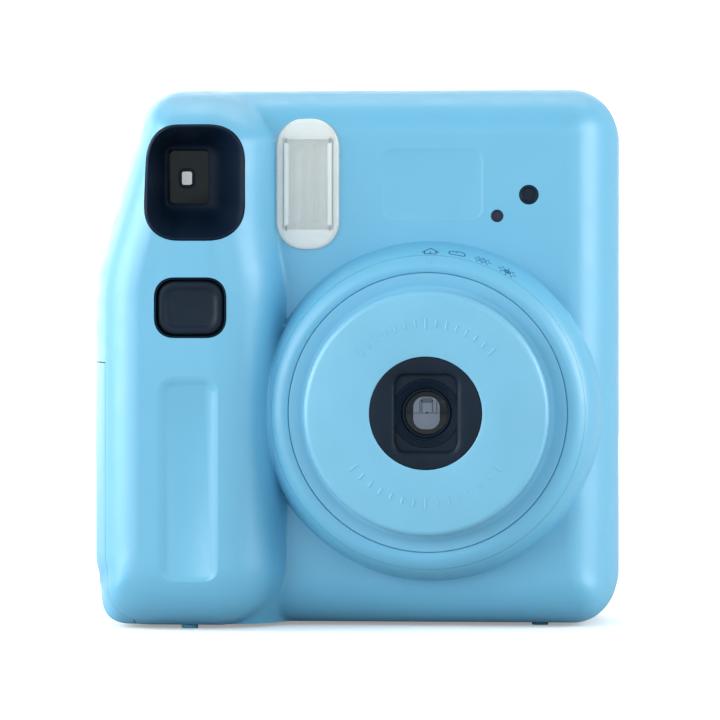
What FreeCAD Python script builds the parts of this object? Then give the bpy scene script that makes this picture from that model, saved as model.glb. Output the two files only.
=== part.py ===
import FreeCAD, Part
import math
import os
import re
import Sketcher

# Instant camera for small instant film.
# Frame: +X to the user's left hand when it points at a subject (right in a front view), the lens
# looks along -Y, +Z is up. The origin is under the middle of the camera, at the feet.

SIZES = {
    # case
    "half_width": 57.9, "base": 0.8, "top": 118.3, "face": -16.0, "back": 34.0, "parting": 6.0,
    "wall": 2.0, "shoulder": 77.3, "lean": 16.7, "low_corner": 9.5, "high_corner": 10.5,
    "shoulder_round": 40.0, "edge_round": 9.0, "back_round": 8.0,
    "grip_face": -31.0, "grip_right": -16.5, "grip_round": 5.8, "flank_round": 6.0, "gap": 0.3,
    "groove_x": -33.7, "groove_z": 32.4, "groove_width": 9.7, "groove_height": 41.7,
    "groove_depth": 0.8, "foot_radius": 1.8,
    # lens and its ring
    "lens_x": 17.6, "lens_z": 47.4, "ring_base": 36.7, "ring_crest": 34.0, "ring_top": -25.5,
    "dial_inner": 30.4, "dial_outer": 33.9, "dial_face": -27.2, "barrel": 30.0, "barrel_wall": 1.7,
    "barrel_front": -26.6, "barrel_rear": 2.7, "guide_rear": 3.0, "disk": 26.3, "disk_face": -34.0,
    "bezel": 12.1, "aperture_width": 13.0, "aperture_height": 16.2,
    # viewfinder
    "finder_x": -32.7, "finder_z": 97.0, "finder_width": 21.5, "finder_height": 25.0,
    "finder_corner": 6.4, "eye_x": -35.2, "eye_z": 98.6, "eye_width": 8.9, "eye_height": 11.8,
    # flash
    "flash_x": -9.3, "flash_z": 97.0, "flash_width": 13.9, "flash_height": 28.5, "flash_corner": 5.9,
    # sensors and plaque
    "sensor_x": 39.0, "sensor_z": 94.6, "sensor_radius": 2.0,
    "cell_x": 32.1, "cell_z": 90.0, "cell_radius": 1.25,
    "plaque_x": 18.0, "plaque_z": 96.9, "plaque_width": 21.4, "plaque_height": 14.8,
    # shutter button
    "button_x": -33.4, "button_z": 70.0, "button_width": 14.3, "button_height": 11.7,
    "button_corner": 3.0,
    "bezel_width": 15.5, "bezel_height": 12.9, "button_face": -30.4,
    # film path
    "picture_width": 46.0, "picture_height": 62.0, "pack_width": 66.0, "pack_height": 92.0,
    "pack_front": 16.9, "pack_back": 29.9, "chamber_front": 14.5, "chamber_back": 29.8,
    "roller": 3.0, "roller_z": 107.0, "film_y": 18.15, "nip": 0.2, "roller_left": -10.4,
    "roller_right": 45.6,
    # film door and its hinge
    "door_right": 52.2, "door_low": 5.0, "door_high": 103.7, "door_thick": 2.4,
    "hinge_x": -20.9, "hinge_y": 31.8, "knuckle": 2.2, "pin": 1.0,
    # batteries
    "battery_x": -46.0, "battery_radius": 7.25, "battery_low": 5.4, "battery_length": 50.5,
    "battery_front_y": -17.2, "battery_rear_y": -1.6, "battery_door_front": -24.0,
    "battery_door_rear": 5.0, "battery_door_top": 58.0, "battery_door_inner": -47.0,
    # gears
    "gear_width": 2.5, "drive_module": 0.5, "twin_module": 0.62,
}

doc = FreeCAD.newDocument("instant_camera")
sheet = doc.addObject("Spreadsheet::Sheet", "Sizes")
for row, (alias, value) in enumerate(SIZES.items(), 1):
    sheet.set(f"A{row}", alias)
    sheet.set(f"B{row}", str(value))
    sheet.setAlias(f"B{row}", alias)
doc.recompute()

sub_parts = []


def bound(text):
    """Turn the sheet's aliases in an expression into references to the sheet."""
    return re.sub(r"[a-z_]+", lambda m: ("Sizes." if m.group() in SIZES else "") + m.group(), str(text))


def size(text):
    """Value of an expression of the sheet's aliases."""
    return float(sheet.evalExpression(bound(text)))


def bind(obj, **expressions):
    for name, text in expressions.items():
        obj.setExpression(name.replace("__", "."), bound(text))
    return obj


def place(obj, x=0, y=0, z=0, rotation=None):
    """Bind the place of an object, with a fixed rotation."""
    obj.Placement = FreeCAD.Placement(FreeCAD.Vector(), rotation or FreeCAD.Rotation())
    return bind(obj, Placement__Base__x=x, Placement__Base__y=y, Placement__Base__z=z)


def sub_part(obj, label):
    """Mark an object as a piece of the camera: its label names its file."""
    obj.Label = label
    sub_parts.append(obj)
    return obj


# ---------------------------------------------------------------- plain solids

ALONG = {"x": FreeCAD.Rotation(FreeCAD.Vector(0, 1, 0), 90),
         "y": FreeCAD.Rotation(FreeCAD.Vector(1, 0, 0), -90),
         "z": FreeCAD.Rotation()}


def box(name, xs, ys, zs):
    """Block between pairs of limits."""
    obj = doc.addObject("Part::Box", name)
    bind(obj, Length=f"({xs[1]}) - ({xs[0]})", Width=f"({ys[1]}) - ({ys[0]})",
         Height=f"({zs[1]}) - ({zs[0]})")
    return place(obj, xs[0], ys[0], zs[0])


def block(name, x, z, width, height, ys):
    """Block centred on x and z, between two depths."""
    return box(name, (f"({x}) - ({width}) / 2", f"({x}) + ({width}) / 2"), ys,
               (f"({z}) - ({height}) / 2", f"({z}) + ({height}) / 2"))


def rod(name, along, centre, ends, radius):
    """Cylinder along x, y or z: centre holds the other two coordinates in order."""
    obj = doc.addObject("Part::Cylinder", name)
    bind(obj, Radius=radius, Height=f"({ends[1]}) - ({ends[0]})")
    spot = list(centre)
    spot.insert("xyz".index(along), ends[0])
    return place(obj, *spot, ALONG[along])


def cone(name, centre, ends, radii):
    """Cone along y."""
    obj = doc.addObject("Part::Cone", name)
    bind(obj, Radius1=radii[0], Radius2=radii[1], Height=f"({ends[1]}) - ({ends[0]})")
    return place(obj, centre[0], ends[0], centre[1], ALONG["y"])


def ball(name, x, y, z, radius):
    obj = doc.addObject("Part::Sphere", name)
    bind(obj, Radius=radius)
    return place(obj, x, y, z)


def fuse(name, *shapes):
    obj = doc.addObject("Part::MultiFuse", name)
    obj.Shapes = list(shapes)
    obj.Refine = True
    return obj


def group(name, *shapes):
    """Several separate solids as one piece."""
    obj = doc.addObject("Part::Compound", name)
    obj.Links = list(shapes)
    return obj


def cut(name, base, *tools):
    obj = doc.addObject("Part::Cut", name)
    obj.Base = base
    obj.Tool = tools[0] if len(tools) == 1 else fuse(name + "_tools", *tools)
    return obj


def common(name, *shapes):
    obj = doc.addObject("Part::MultiCommon", name)
    obj.Shapes = list(shapes)
    return obj


def copy_of(obj, name):
    """A second use of the same solid, as each boolean owns its operands."""
    twin = doc.addObject("Part::Feature", name)
    doc.recompute()
    twin.Shape = obj.Shape
    return twin


# ---------------------------------------------------------------- sketched solids

def sketch_on(body, role, points):
    """Closed outline of straight lines on one of the body's own planes, each corner bound."""
    sketch = body.newObject("Sketcher::SketchObject", body.Name + "_sketch")
    plane = [item for item in body.Origin.OriginFeatures if item.Role == role][0]
    sketch.AttachmentSupport = [(plane, "")]
    sketch.MapMode = "FlatFace"
    corners = [FreeCAD.Vector(size(a), size(b), 0) for a, b in points]
    count = len(corners)
    for i in range(count):
        sketch.addGeometry(Part.LineSegment(corners[i], corners[(i + 1) % count]))
    for i in range(count):
        sketch.addConstraint(Sketcher.Constraint("Coincident", i, 2, (i + 1) % count, 1))
    for i in range(count):
        for axis, value, text in (("X", corners[i].x, points[i][0]), ("Y", corners[i].y, points[i][1])):
            index = sketch.addConstraint(Sketcher.Constraint("Distance" + axis, -1, 1, i, 1, value))
            sketch.renameConstraint(index, f"{axis.lower()}{i}")
            sketch.setExpression(f"Constraints.{axis.lower()}{i}", bound(text))
    return sketch


def round_edges(body, name, chosen, radius):
    """Fillet the edges of the body's tip that the test picks."""
    doc.recompute()
    tip = body.Tip
    names = [f"Edge{i}" for i, edge in enumerate(tip.Shape.Edges, 1) if chosen(edge)]
    fillet = body.newObject("PartDesign::Fillet", name)
    fillet.Base = (tip, names)
    bind(fillet, Radius=radius)
    doc.recompute()
    return fillet


def runs_along_y(edge, near=None):
    """Test for straight edges along y, and by their x and z if near is given."""
    limits = edge.BoundBox
    straight = limits.YLength > 0.5 and limits.XLength < 0.01 and limits.ZLength < 0.01
    return straight and (near is None or near(limits.XMin, limits.ZMin))


def lies_at_y(edge, y):
    limits = edge.BoundBox
    return abs(limits.YMin - y) < 0.01 and abs(limits.YMax - y) < 0.01


def prism(name, points, ys):
    """Outline in x and z, padded between two depths."""
    body = doc.addObject("PartDesign::Body", name)
    sketch = sketch_on(body, "XZ_Plane", points)
    bind(sketch, AttachmentOffset__Base__z=f"-({ys[1]})")
    pad = body.newObject("PartDesign::Pad", name + "_pad")
    pad.Profile = sketch
    bind(pad, Length=f"({ys[1]}) - ({ys[0]})")
    return body


def rounded_plate(name, x, z, width, height, corner, ys):
    """Rectangle with round corners, facing y."""
    left, right = f"({x}) - ({width}) / 2", f"({x}) + ({width}) / 2"
    low, high = f"({z}) - ({height}) / 2", f"({z}) + ({height}) / 2"
    body = prism(name, [(left, low), (right, low), (right, high), (left, high)], ys)
    round_edges(body, name + "_corners", runs_along_y, corner)
    return body


def turned(name, profile):
    """Solid of revolution about the lens axis: profile holds radius and depth."""
    body = doc.addObject("PartDesign::Body", name)
    sketch = sketch_on(body, "XY_Plane", profile)
    turn = body.newObject("PartDesign::Revolution", name + "_turn")
    turn.Profile = sketch
    turn.ReferenceAxis = (sketch, ["V_Axis"])
    turn.Angle = 360
    return place(body, "lens_x", 0, "lens_z")


def funnel(name, front, rear, ys):
    """Loft between two upright rectangles with cut corners: x, z, width, height and corner."""
    body = doc.addObject("PartDesign::Body", name)
    sketches = []
    for (x, z, width, height, corner), y in ((front, ys[0]), (rear, ys[1])):
        outline = []
        for across, up in ((-1, -1), (1, -1), (1, 1), (-1, 1)):
            side = f"({x}) + {across} * ({width}) / 2"
            level = f"({z}) + {up} * ({height}) / 2"
            ends = [(side, f"{level} - {up} * {corner}"), (f"{side} - {across} * {corner}", level)]
            outline += ends if across == up else ends[::-1]
        sketch = sketch_on(body, "XZ_Plane", outline)
        bind(sketch, AttachmentOffset__Base__z=f"-({y})")
        sketches.append(sketch)
    loft = body.newObject("PartDesign::AdditiveLoft", name + "_loft")
    loft.Profile = sketches[0]
    loft.Sections = [sketches[1]]
    return body


# ---------------------------------------------------------------- case

def shoulder_x(inset):
    """Where the leaning upper left side meets the top, moved in by a wall."""
    return f"-half_width + (top - shoulder) * tan(lean) + ({inset}) * (1 - sin(lean)) / cos(lean)"


def shoulder_z(inset):
    return f"shoulder - ({inset}) * tan(lean / 2)"


def case_block(name, inset, ys, front_round, back_round=None, grip=False):
    """Front outline of the case, or its left part for the grip, moved in by a wall and rounded."""
    left, low, high = f"-half_width + {inset}", f"base + {inset}", f"top - {inset}"
    right = f"grip_right - {inset}" if grip else f"half_width - {inset}"
    body = prism(name, [(left, low), (right, low), (right, high), (shoulder_x(inset), high),
                        (left, shoulder_z(inset))], ys)
    middle = size("(base + top) / 2")
    outer_left = size(left) + 0.5
    shoulder_height = size(shoulder_z(inset))
    round_edges(body, name + "_low", lambda e: runs_along_y(e, lambda x, z: z < middle and
                (x < outer_left or not grip)), f"low_corner - {inset}")
    round_edges(body, name + "_high", lambda e: runs_along_y(e, lambda x, z: z > shoulder_height + 5 and
                (x < size(right) - 1 or not grip)), f"high_corner - {inset}")
    round_edges(body, name + "_shoulder", lambda e: runs_along_y(e, lambda x, z: x < outer_left and
                abs(z - shoulder_height) < 1), f"shoulder_round - {inset}")
    if grip:
        round_edges(body, name + "_flank", lambda e: runs_along_y(e, lambda x, z: x > size(right) - 0.5),
                    f"flank_round - {inset}")
    round_edges(body, name + "_front", lambda e: lies_at_y(e, size(ys[0])), front_round)
    if back_round:
        round_edges(body, name + "_back", lambda e: lies_at_y(e, size(ys[1])), back_round)
    return body


def case_outside(name):
    """Outer volume of the case: the main block, the grip and the base of the lens ring."""
    main = case_block(name + "_main", "0", ("face", "back"), "edge_round", "back_round")
    grip = case_block(name + "_grip", "0", ("grip_face", "parting"), "grip_round", grip=True)
    centre = ("lens_x", "lens_z")
    flank = cone(name + "_flank", centre, ("ring_top", "face"), ("ring_crest", "ring_base"))
    root = rod(name + "_root", "y", centre, ("face", "-9"), "ring_base")
    return fuse(name, main, grip, flank, root)


def case_inside(name):
    """Hollow of the case."""
    main = case_block(name + "_main", "wall", ("face + wall", "back - wall"),
                      "edge_round - wall", "back_round - wall")
    grip = case_block(name + "_grip", "wall", ("grip_face + wall", "parting"), "grip_round - wall",
                      grip=True)
    return fuse(name, main, grip)


outside = case_outside("outside")
doc.recompute()
shell = cut("shell", copy_of(outside, "outside_solid"), case_inside("inside"))
doc.recompute()
FAR = 80

# Place of each case screw, and the depths where its post meets the front wall and the back wall.
SCREWS = [(-49.5, 84, -29.5, 32.5), (-27, 8, -29.5, 32.5), (-24, 112, -29.5, 32.5), (49.5, 114, -11, 30)]


def screw_posts(name, ys, radius):
    """Cylinders on the screws' axes: a depth of None means the wall at that end."""
    return [rod(f"{name}_{i}", "y", (x, z), (front if ys[0] is None else ys[0], back if ys[1] is None
                else ys[1]), radius) for i, (x, z, front, back) in enumerate(SCREWS)]


def battery_door_space(name, play):
    """Room of the battery door: its side, the round corner below and a strip of the base."""
    side = box(name + "_side", (-FAR, f"battery_door_inner + {play}"),
               (f"battery_door_front - {play}", f"battery_door_rear + {play}"),
               (-5, f"battery_door_top + {play}"))
    swing = rod(name + "_swing", "z", ("-half_width", "battery_door_rear + " + str(play)), (-6, FAR),
                f"battery_door_rear - battery_door_front + 2 * {play}")
    return common(name, side, swing)


def film_door_space(name, play):
    """Room of the film door, out to the hinge's own clearance."""
    left = "hinge_x + knuckle + gap" if play == "0" else "hinge_x - knuckle - 0.8"
    return box(name, (left, f"door_right + {play}"), (f"back - door_thick - {play} * 8", FAR),
               (f"door_low - {play}", f"door_high + {play}"))


def front_cover():
    """Front half of the case with every opening for what looks out of it."""
    half = common("front_half", copy_of(shell, "shell_front"),
                  box("front_space", (-FAR, FAR), (-FAR, "parting"), (-FAR, 150)))
    posts = screw_posts("front_post", (None, "parting"), "2.2")
    solid = fuse("front_solid", half, *posts)
    centre = ("lens_x", "lens_z")
    holes = [rod("dial_bore", "y", centre, (-40, -20), "dial_outer - 1.7"),
             rod("guide_bore", "y", centre, ("dial_face + 5.3", 5), "dial_outer - 0.2"),
             rounded_plate("finder_opening", "finder_x", "finder_z", "finder_width + 0.2",
                           "finder_height + 0.2", "finder_corner", (-40, -12)),
             rounded_plate("button_opening", "button_x", "button_z", "bezel_width + 0.2",
                           "bezel_height + 0.2", "button_corner + 0.5", (-40, -20)),
             rounded_plate("flash_opening", "flash_x", "flash_z", "flash_width + 0.2",
                           "flash_height + 0.2", "flash_corner", (-40, -10)),
             rod("sensor_hole", "y", ("sensor_x", "sensor_z"), (-20, -10), "sensor_radius + 0.1"),
             rod("cell_hole", "y", ("cell_x", "cell_z"), (-20, -10), "cell_radius + 0.1"),
             rounded_plate("plaque", "plaque_x", "plaque_z", "plaque_width", "plaque_height", "2",
                           (-20, "face + 0.35")),
             rounded_plate("grip_groove", "groove_x", "groove_z", "groove_width", "groove_height", "2.5",
                           ("grip_face - 5", "grip_face + groove_depth")),
             battery_door_space("battery_door_hole", "gap")]
    holes += screw_posts("front_pilot", ("-3", "parting + 1"), "0.85")
    return sub_part(cut("front_cover", solid, *holes), "front_cover")


def rear_cover():
    """Rear half of the case, open behind the film chamber, with the fixed hinge knuckles."""
    half = common("rear_half", copy_of(shell, "shell_rear"),
                  box("rear_space", (-FAR, FAR), ("parting", FAR), (-FAR, 150)))
    solid = fuse("rear_solid", half, *screw_posts("rear_post", ("parting", None), "2.2"),
                 box("strap_cup", (-57, -50.9), (10.5, 23.5), (60.5, 75.5)))
    holes = [film_door_space("door_hole", "gap"),
             box("slot_hole", (-13.1, 48.3), (15.3, 22.1), (110, 130)),
             rounded_plate("eyepiece_hole", "eye_x", "eye_z", "13.2", "15.2", "2", (25, 40)),
             rounded_plate("counter_hole", "-36", "35", "5.2", "4.2", "0.8", (25, 40)),
             box("strap_recess", (-60, -52.4), (12, 22), (62, 74)),
             box("latch_keeper", (52, 53.8), (31, 32.7), (49.9, 58.1))]
    holes += screw_posts("screw_clearance", ("parting - 1", 40), "1.1")
    holes += screw_posts("screw_head_room", ("18", 40), "1.75")
    opened = cut("rear_opened", solid, *holes)
    knuckles = []
    for i, (low, high) in enumerate(((4.4, 11.7), (26.3, 81.7), (96.3, 104.3))):
        barrel = rod(f"fixed_knuckle_{i}", "z", ("hinge_x", "hinge_y"), (low, high), "knuckle")
        hook = box(f"fixed_hook_{i}", (-28, "hinge_x"), ("hinge_y - knuckle", "hinge_y - 0.4"), (low, high))
        heel = box(f"fixed_heel_{i}", (-28, "hinge_x - knuckle - 1.1"), ("hinge_y - knuckle", "back - 1"),
                   (low, high))
        knuckles += [barrel, hook, heel]
    joined = fuse("rear_joined", opened, *knuckles)
    pin_room = rod("rear_pin_room", "z", ("hinge_x", "hinge_y"), (7, 101), "pin + 0.05")
    return sub_part(cut("rear_cover", joined, pin_room), "rear_cover")


def film_door():
    """Back door over the film chamber, with two knuckles, a window and the latch channel."""
    panel = common("door_panel", copy_of(outside, "outside_door"), film_door_space("door_space", "0"))
    pieces = [panel]
    for i, (low, high) in enumerate(((12, 26), (82, 96))):
        pieces.append(rod(f"door_knuckle_{i}", "z", ("hinge_x", "hinge_y"), (low, high), "knuckle"))
        pieces.append(box(f"door_web_{i}", ("hinge_x", "hinge_x + knuckle + 1"),
                          ("back - door_thick + 0.2", "back"), (low, high)))
    solid = fuse("door_solid", *pieces)
    holes = [rod("door_pin_room", "z", ("hinge_x", "hinge_y"), (10, 98), "pin + 0.05"),
             rounded_plate("window_hole", "lens_x", "40", "8.2", "26.2", "2", (25, 40)),
             box("latch_channel", (41, 60), (30, 32.7), (49.8, 58.2)),
             rounded_plate("latch_recess", "46", "54", "10", "15", "1.5", (33, 40)),
             box("latch_slot", (41.5, 48.5), (31, 34), (51.8, 56.2))]
    return sub_part(cut("film_door", solid, *holes), "film_door")


def door_pieces():
    """What the film door carries."""
    sub_part(rounded_plate("film_window", "lens_x", "40", "8", "26", "1.9", (31.8, 33.7)), "film_window")
    pads = [box(f"pad_{i}", (x, x + 6), (30.2, "back - door_thick"), (25, 70))
            for i, x in enumerate((-3, 32))]
    sub_part(group("pads", *pads), "pressure_pads")
    bolt = box("bolt", (45, 53.6), (31.2, 32.5), (50.2, 57.8))
    stem = box("bolt_stem", (45, 48.2), (32.2, 33.2), (52.2, 55.8))
    thumb = rounded_plate("bolt_thumb", "46.9", "54", "6", "13", "1.3", (33.1, "back"))
    sub_part(fuse("latch", bolt, stem, thumb), "door_latch")
    sub_part(rod("hinge_pin", "z", ("hinge_x", "hinge_y"), (7.5, 100.5), "pin"), "door_hinge_pin")


def battery_door():
    """Cover over the two cells: side, lower corner and a strip of the base in one."""
    space = battery_door_space("battery_space", "0")
    panel = common("battery_panel", copy_of(shell, "shell_battery"), space)
    return sub_part(panel, "battery_door")


def trim():
    """Feet, strap bar, screws, eject slot frame and counter."""
    feet = [rod(f"foot_{i}", "z", spot, (0, "base"), "foot_radius")
            for i, spot in enumerate(((-35, -18), (41, -2), (-35, 22), (41, 22)))]
    sub_part(group("feet_group", *feet), "feet")
    sub_part(rod("strap", "z", (-56.3, 17), (62, 74), "1.1"), "strap_bar")
    screws = []
    for i, (x, z, front, back) in enumerate(SCREWS):
        spot = (x, z)
        shank = rod(f"shank_{i}", "y", spot, (-2.5, 18.2), "0.84")
        head = rod(f"head_{i}", "y", spot, (18, 19.8), "1.7")
        screws.append(fuse(f"screw_{i}", shank, head))
    sub_part(group("screw_group", *screws), "case_screws")
    frame = box("slot_plate", (-13, 48.2), (15.4, 22), (115.2, "top - 0.1"))
    slot = box("slot_way", (-10.9, 46.1), (17.1, 20.1), (110, 130))
    sub_part(cut("slot_frame", frame, slot), "eject_slot_frame")
    disc = rod("counter_plate", "y", (-36, 30), (29, 30), "7")
    hub = rod("counter_hub", "y", (-36, 30), (26, 29.2), "1.5")
    sub_part(fuse("counter", disc, hub), "counter_disc")
    sub_part(rounded_plate("counter_glass", "-36", "35", "5", "4", "0.7", (32.2, 33.8)), "counter_window")


# ---------------------------------------------------------------- lens

def lens_element(name, centre_y, radius, half_thickness, curve):
    """Lens with two equal round faces."""
    drum = rod(name + "_drum", "y", ("lens_x", "lens_z"), (centre_y - 3, centre_y + 3), radius)
    front = ball(name + "_front", "lens_x", centre_y - half_thickness + curve, "lens_z", curve)
    rear = ball(name + "_rear", "lens_x", centre_y + half_thickness - curve, "lens_z", curve)
    return sub_part(common(name + "_solid", drum, front, rear), name)


def lens_group():
    """Dial, guide, sliding barrel and everything that the barrel carries."""
    inner = "barrel - barrel_wall"
    dial = turned("dial", [("dial_inner", "dial_face"), ("dial_outer - 0.8", "dial_face"),
                           ("dial_outer", "ring_top - 0.2"), ("dial_outer - 2", "ring_top - 0.2"),
                           ("dial_outer - 2", "dial_face + 5"), ("dial_inner", "dial_face + 5")])
    pointer = block("pointer", "lens_x + 0.3", "lens_z + 32.4", "0.6", "1.8",
                    ("dial_face - 0.2", "dial_face + 1"))
    sub_part(fuse("dial_marked", dial, pointer), "exposure_dial")
    sub_part(turned("guide", [("barrel + 1.6", "dial_face + 7.4"), ("barrel + 1.6", "guide_rear"),
                              ("barrel + 3.4", "guide_rear"), ("barrel + 3.4", "dial_face + 5.4"),
                              ("barrel + 0.08", "dial_face + 5.4"), ("barrel + 0.08", "dial_face + 7.4")]),
             "lens_guide")
    sub_part(turned("tube", [("9.3", "barrel_front"), ("barrel", "barrel_front"),
                             ("barrel", "barrel_rear - 2"), ("barrel + 1.5", "barrel_rear - 2"),
                             ("barrel + 1.5", "barrel_rear"),
                             (inner, "barrel_rear"), (inner, "barrel_front + 1.8"),
                             ("9.3", "barrel_front + 1.8")]), "lens_barrel")
    sub_part(turned("plate", [("bezel + 0.1", "disk_face"), ("disk - 1.2", "disk_face"),
                              ("disk", "disk_face + 1.2"), ("disk", "barrel_front"),
                              ("disk - 1.8", "barrel_front"), ("disk - 1.8", "disk_face + 2"),
                              ("bezel + 0.1", "disk_face + 2")]), "lens_front_plate")
    centre = ("lens_x", "lens_z")
    button = rod("centre_disk", "y", centre, ("disk_face + 0.4", "-29.5"), "bezel")
    mouth = funnel("mouth", ("lens_x", "lens_z", "aperture_width", "aperture_height", 1.2),
                   ("lens_x", "lens_z", "aperture_width - 0.6", "aperture_height - 0.8", 1.2),
                   (-34.5, -31.9))
    sub_part(cut("centre", button, mouth, rod("centre_bore", "y", centre, (-32, -29), "7.2")), "lens_bezel")
    sub_part(turned("ring", [("7.1", "-31.8"), ("7.1", "-28.6"), ("4.9", "-28.6"), ("4.9", "-30"),
                             ("5.6", "-30"), ("5.6", "-30.9"), ("6.4", "-30.9"), ("6.4", "-31.8")]),
             "lens_retaining_ring")
    sub_part(turned("housing", [("7.2", "-29.4"), ("9.2", "-29.4"), ("9.2", "-24.9"), ("5.3", "-24.9"),
                                ("5.3", "-28.5"), ("7.2", "-28.5")]), "lens_housing")
    lens_element("front_lens", -27.1, "5.2", 1.3, 11)
    disc = rod("aperture_disc", "y", centre, (-25.7, -25.1), "5.2")
    sub_part(cut("aperture", disc, rod("aperture_hole", "y", centre, (-27, -24), "2.2")), "aperture_plate")


def shutter_group():
    """Shutter blade on its pivot, and the plate behind it with the rear lens."""
    centre = ("lens_x", "lens_z")
    pivot = ("lens_x + 8.5", "lens_z")
    arm = box("blade_arm", ("lens_x", "lens_x + 8.5"), (-24.4, -23.9), ("lens_z - 1.2", "lens_z + 1.2"))
    blade = fuse("blade_solid", rod("blade_disc", "y", centre, (-24.4, -23.9), "3.4"), arm,
                 rod("blade_boss", "y", pivot, (-24.4, -23.9), "1.8"))
    sub_part(cut("blade", blade, rod("blade_eye", "y", pivot, (-25, -23), "0.65")), "shutter_blade")
    disc = rod("shutter_disc", "y", centre, (-23.4, -22.4), "12.4")
    posts = [rod(f"shutter_post_{i}", "y", (f"lens_x + 11 * cos({a})", f"lens_z + 11 * sin({a})"),
                 (-24.8, -23), "1") for i, a in enumerate((60, 180, 300))]
    pin = rod("shutter_pin", "y", pivot, (-24.7, -23), "0.6")
    cell = rod("rear_cell", "y", centre, (-22.8, -18.6), "7.5")
    solid = fuse("shutter_solid", disc, pin, cell, *posts)
    sub_part(cut("shutter", solid, rod("shutter_hole", "y", centre, (-25, -17), "3"),
                 rod("rear_seat", "y", centre, (-22, -17), "5.6")), "shutter_plate")
    lens_element("rear_lens", -20.5, "5.5", 1.2, 13)


# ---------------------------------------------------------------- viewfinder and flash

def viewfinder():
    """Black hood, front lens, tunnel through the camera and eyepiece."""
    hood = rounded_plate("hood_block", "finder_x", "finder_z", "finder_width", "finder_height",
                         "finder_corner - 0.1", ("grip_face - 0.5", "-18"))
    well = funnel("hood_well", ("finder_x", "finder_z", "finder_width - 2.4", "finder_height - 2.4", 3.5),
                  ("eye_x", "eye_z", "eye_width", "eye_height", 0.8), ("grip_face - 0.6", "-19.5"))
    window = block("hood_window", "eye_x", "eye_z", "eye_width", "eye_height", (-20, -17))
    sub_part(cut("hood", hood, well, window), "viewfinder_hood")
    sub_part(block("objective", "eye_x", "eye_z", "eye_width + 1.6", "eye_height + 1.6", (-17.9, -16.2)),
             "viewfinder_objective")
    outer = block("tunnel_outer", "eye_x", "eye_z", "eye_width + 4", "eye_height + 4", (-16.1, 28))
    bore = block("tunnel_bore", "eye_x", "eye_z", "eye_width + 1", "eye_height + 1", (-20, 40))
    sub_part(cut("tunnel", outer, bore), "viewfinder_tunnel")
    glass = rounded_plate("eye_glass", "eye_x", "eye_z", "8.6", "10.6", "1.5", (29.4, 31.4))
    sub_part(glass, "eyepiece_lens")
    frame = rounded_plate("eye_frame", "eye_x", "eye_z", "13", "15", "1.9", (28.2, "back"))
    sight = rounded_plate("eye_sight", "eye_x", "eye_z", "8.8", "10.8", "1.5", (25, 40))
    sub_part(cut("eyepiece", frame, sight), "eyepiece_frame")


def flash():
    """Flash window over a trough-shaped reflector with the tube in it."""
    sub_part(rounded_plate("flash_glass", "flash_x", "flash_z", "flash_width", "flash_height",
                           "flash_corner - 0.1", (-17.3, -15.6)), "flash_window")
    shell_box = block("reflector_box", "flash_x", "flash_z", "11.8", "22", (-15.5, -4.5))
    trough = rod("reflector_trough", "z", ("flash_x", -11.4), (87, 107), "5.2")
    mouth = box("reflector_mouth", ("flash_x - 5.2", "flash_x + 5.2"), (-16, -11.4), (87, 107))
    sub_part(cut("reflector", shell_box, trough, mouth), "flash_reflector")
    sub_part(rod("tube_glass", "z", ("flash_x", -9.2), (87.2, 106.8), "1.4"), "flash_tube")
    sub_part(rod("capacitor", "x", (-2, 108), (5, 36), "6"), "flash_capacitor")


# ---------------------------------------------------------------- button, boards and batteries

def spring(name):
    """Coil spring as a stack of four turns, each joined to the next by a short link."""
    turns = []
    for i in range(4):
        turn = doc.addObject("Part::Torus", f"{name}_turn_{i}")
        bind(turn, Radius1=3, Radius2=0.3)
        turns.append(place(turn, "button_x", -26.8 + 1.8 * i, "button_z", ALONG["y"]))
    links = [rod(f"{name}_link_{i}", "y", (f"button_x + {3 * (-1) ** i}", "button_z"),
                 (-26.8 + 1.8 * i, -25 + 1.8 * i), "0.28") for i in range(3)]
    return fuse(name, *turns, *links)


def shutter_release():
    """Shutter button in its bezel, with spring and switch behind it."""
    rim = rounded_plate("bezel_block", "button_x", "button_z", "bezel_width", "bezel_height",
                        "button_corner + 0.4", ("grip_face - 0.3", -27.2))
    hole = rounded_plate("bezel_hole", "button_x", "button_z", "button_width + 0.5", "button_height + 0.5",
                         "button_corner + 0.1", (-40, -20))
    sub_part(cut("bezel_ring", rim, hole), "button_bezel")
    cap = rounded_plate("button_cap", "button_x", "button_z", "button_width", "button_height",
                        "button_corner", ("button_face", -27.4))
    dish = ball("button_dish", "button_x", "button_face - 59.5", "button_z", "60")
    stem = rod("button_stem", "y", ("button_x", "button_z"), (-27.6, -24.2), "2")
    sub_part(fuse("button", cut("button_dished", cap, dish), stem), "shutter_button")
    sub_part(spring("spring"), "button_spring")
    sub_part(rod("switch", "y", ("button_x", "button_z"), (-22.4, -20.5), "2"), "shutter_switch")
    sub_part(block("switch_plate", "button_x", "button_z", "17", "15", (-20.5, -19.3)), "switch_board")


def electrics():
    """Main board, sensor board and sensor windows."""
    sub_part(box("board", (-22.6, -21), (-12, 28), (10, 78)), "main_board")
    sub_part(box("sensor_plate", (28, 44), (-11.4, -10.2), (86, 98)), "sensor_board")
    sub_part(rod("sensor_glass", "y", ("sensor_x", "sensor_z"), ("face - 0.15", -11.5), "sensor_radius"),
             "exposure_sensor_window")
    sub_part(rod("cell_glass", "y", ("cell_x", "cell_z"), ("face - 0.1", -11.5), "cell_radius"),
             "flash_sensor_window")


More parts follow.
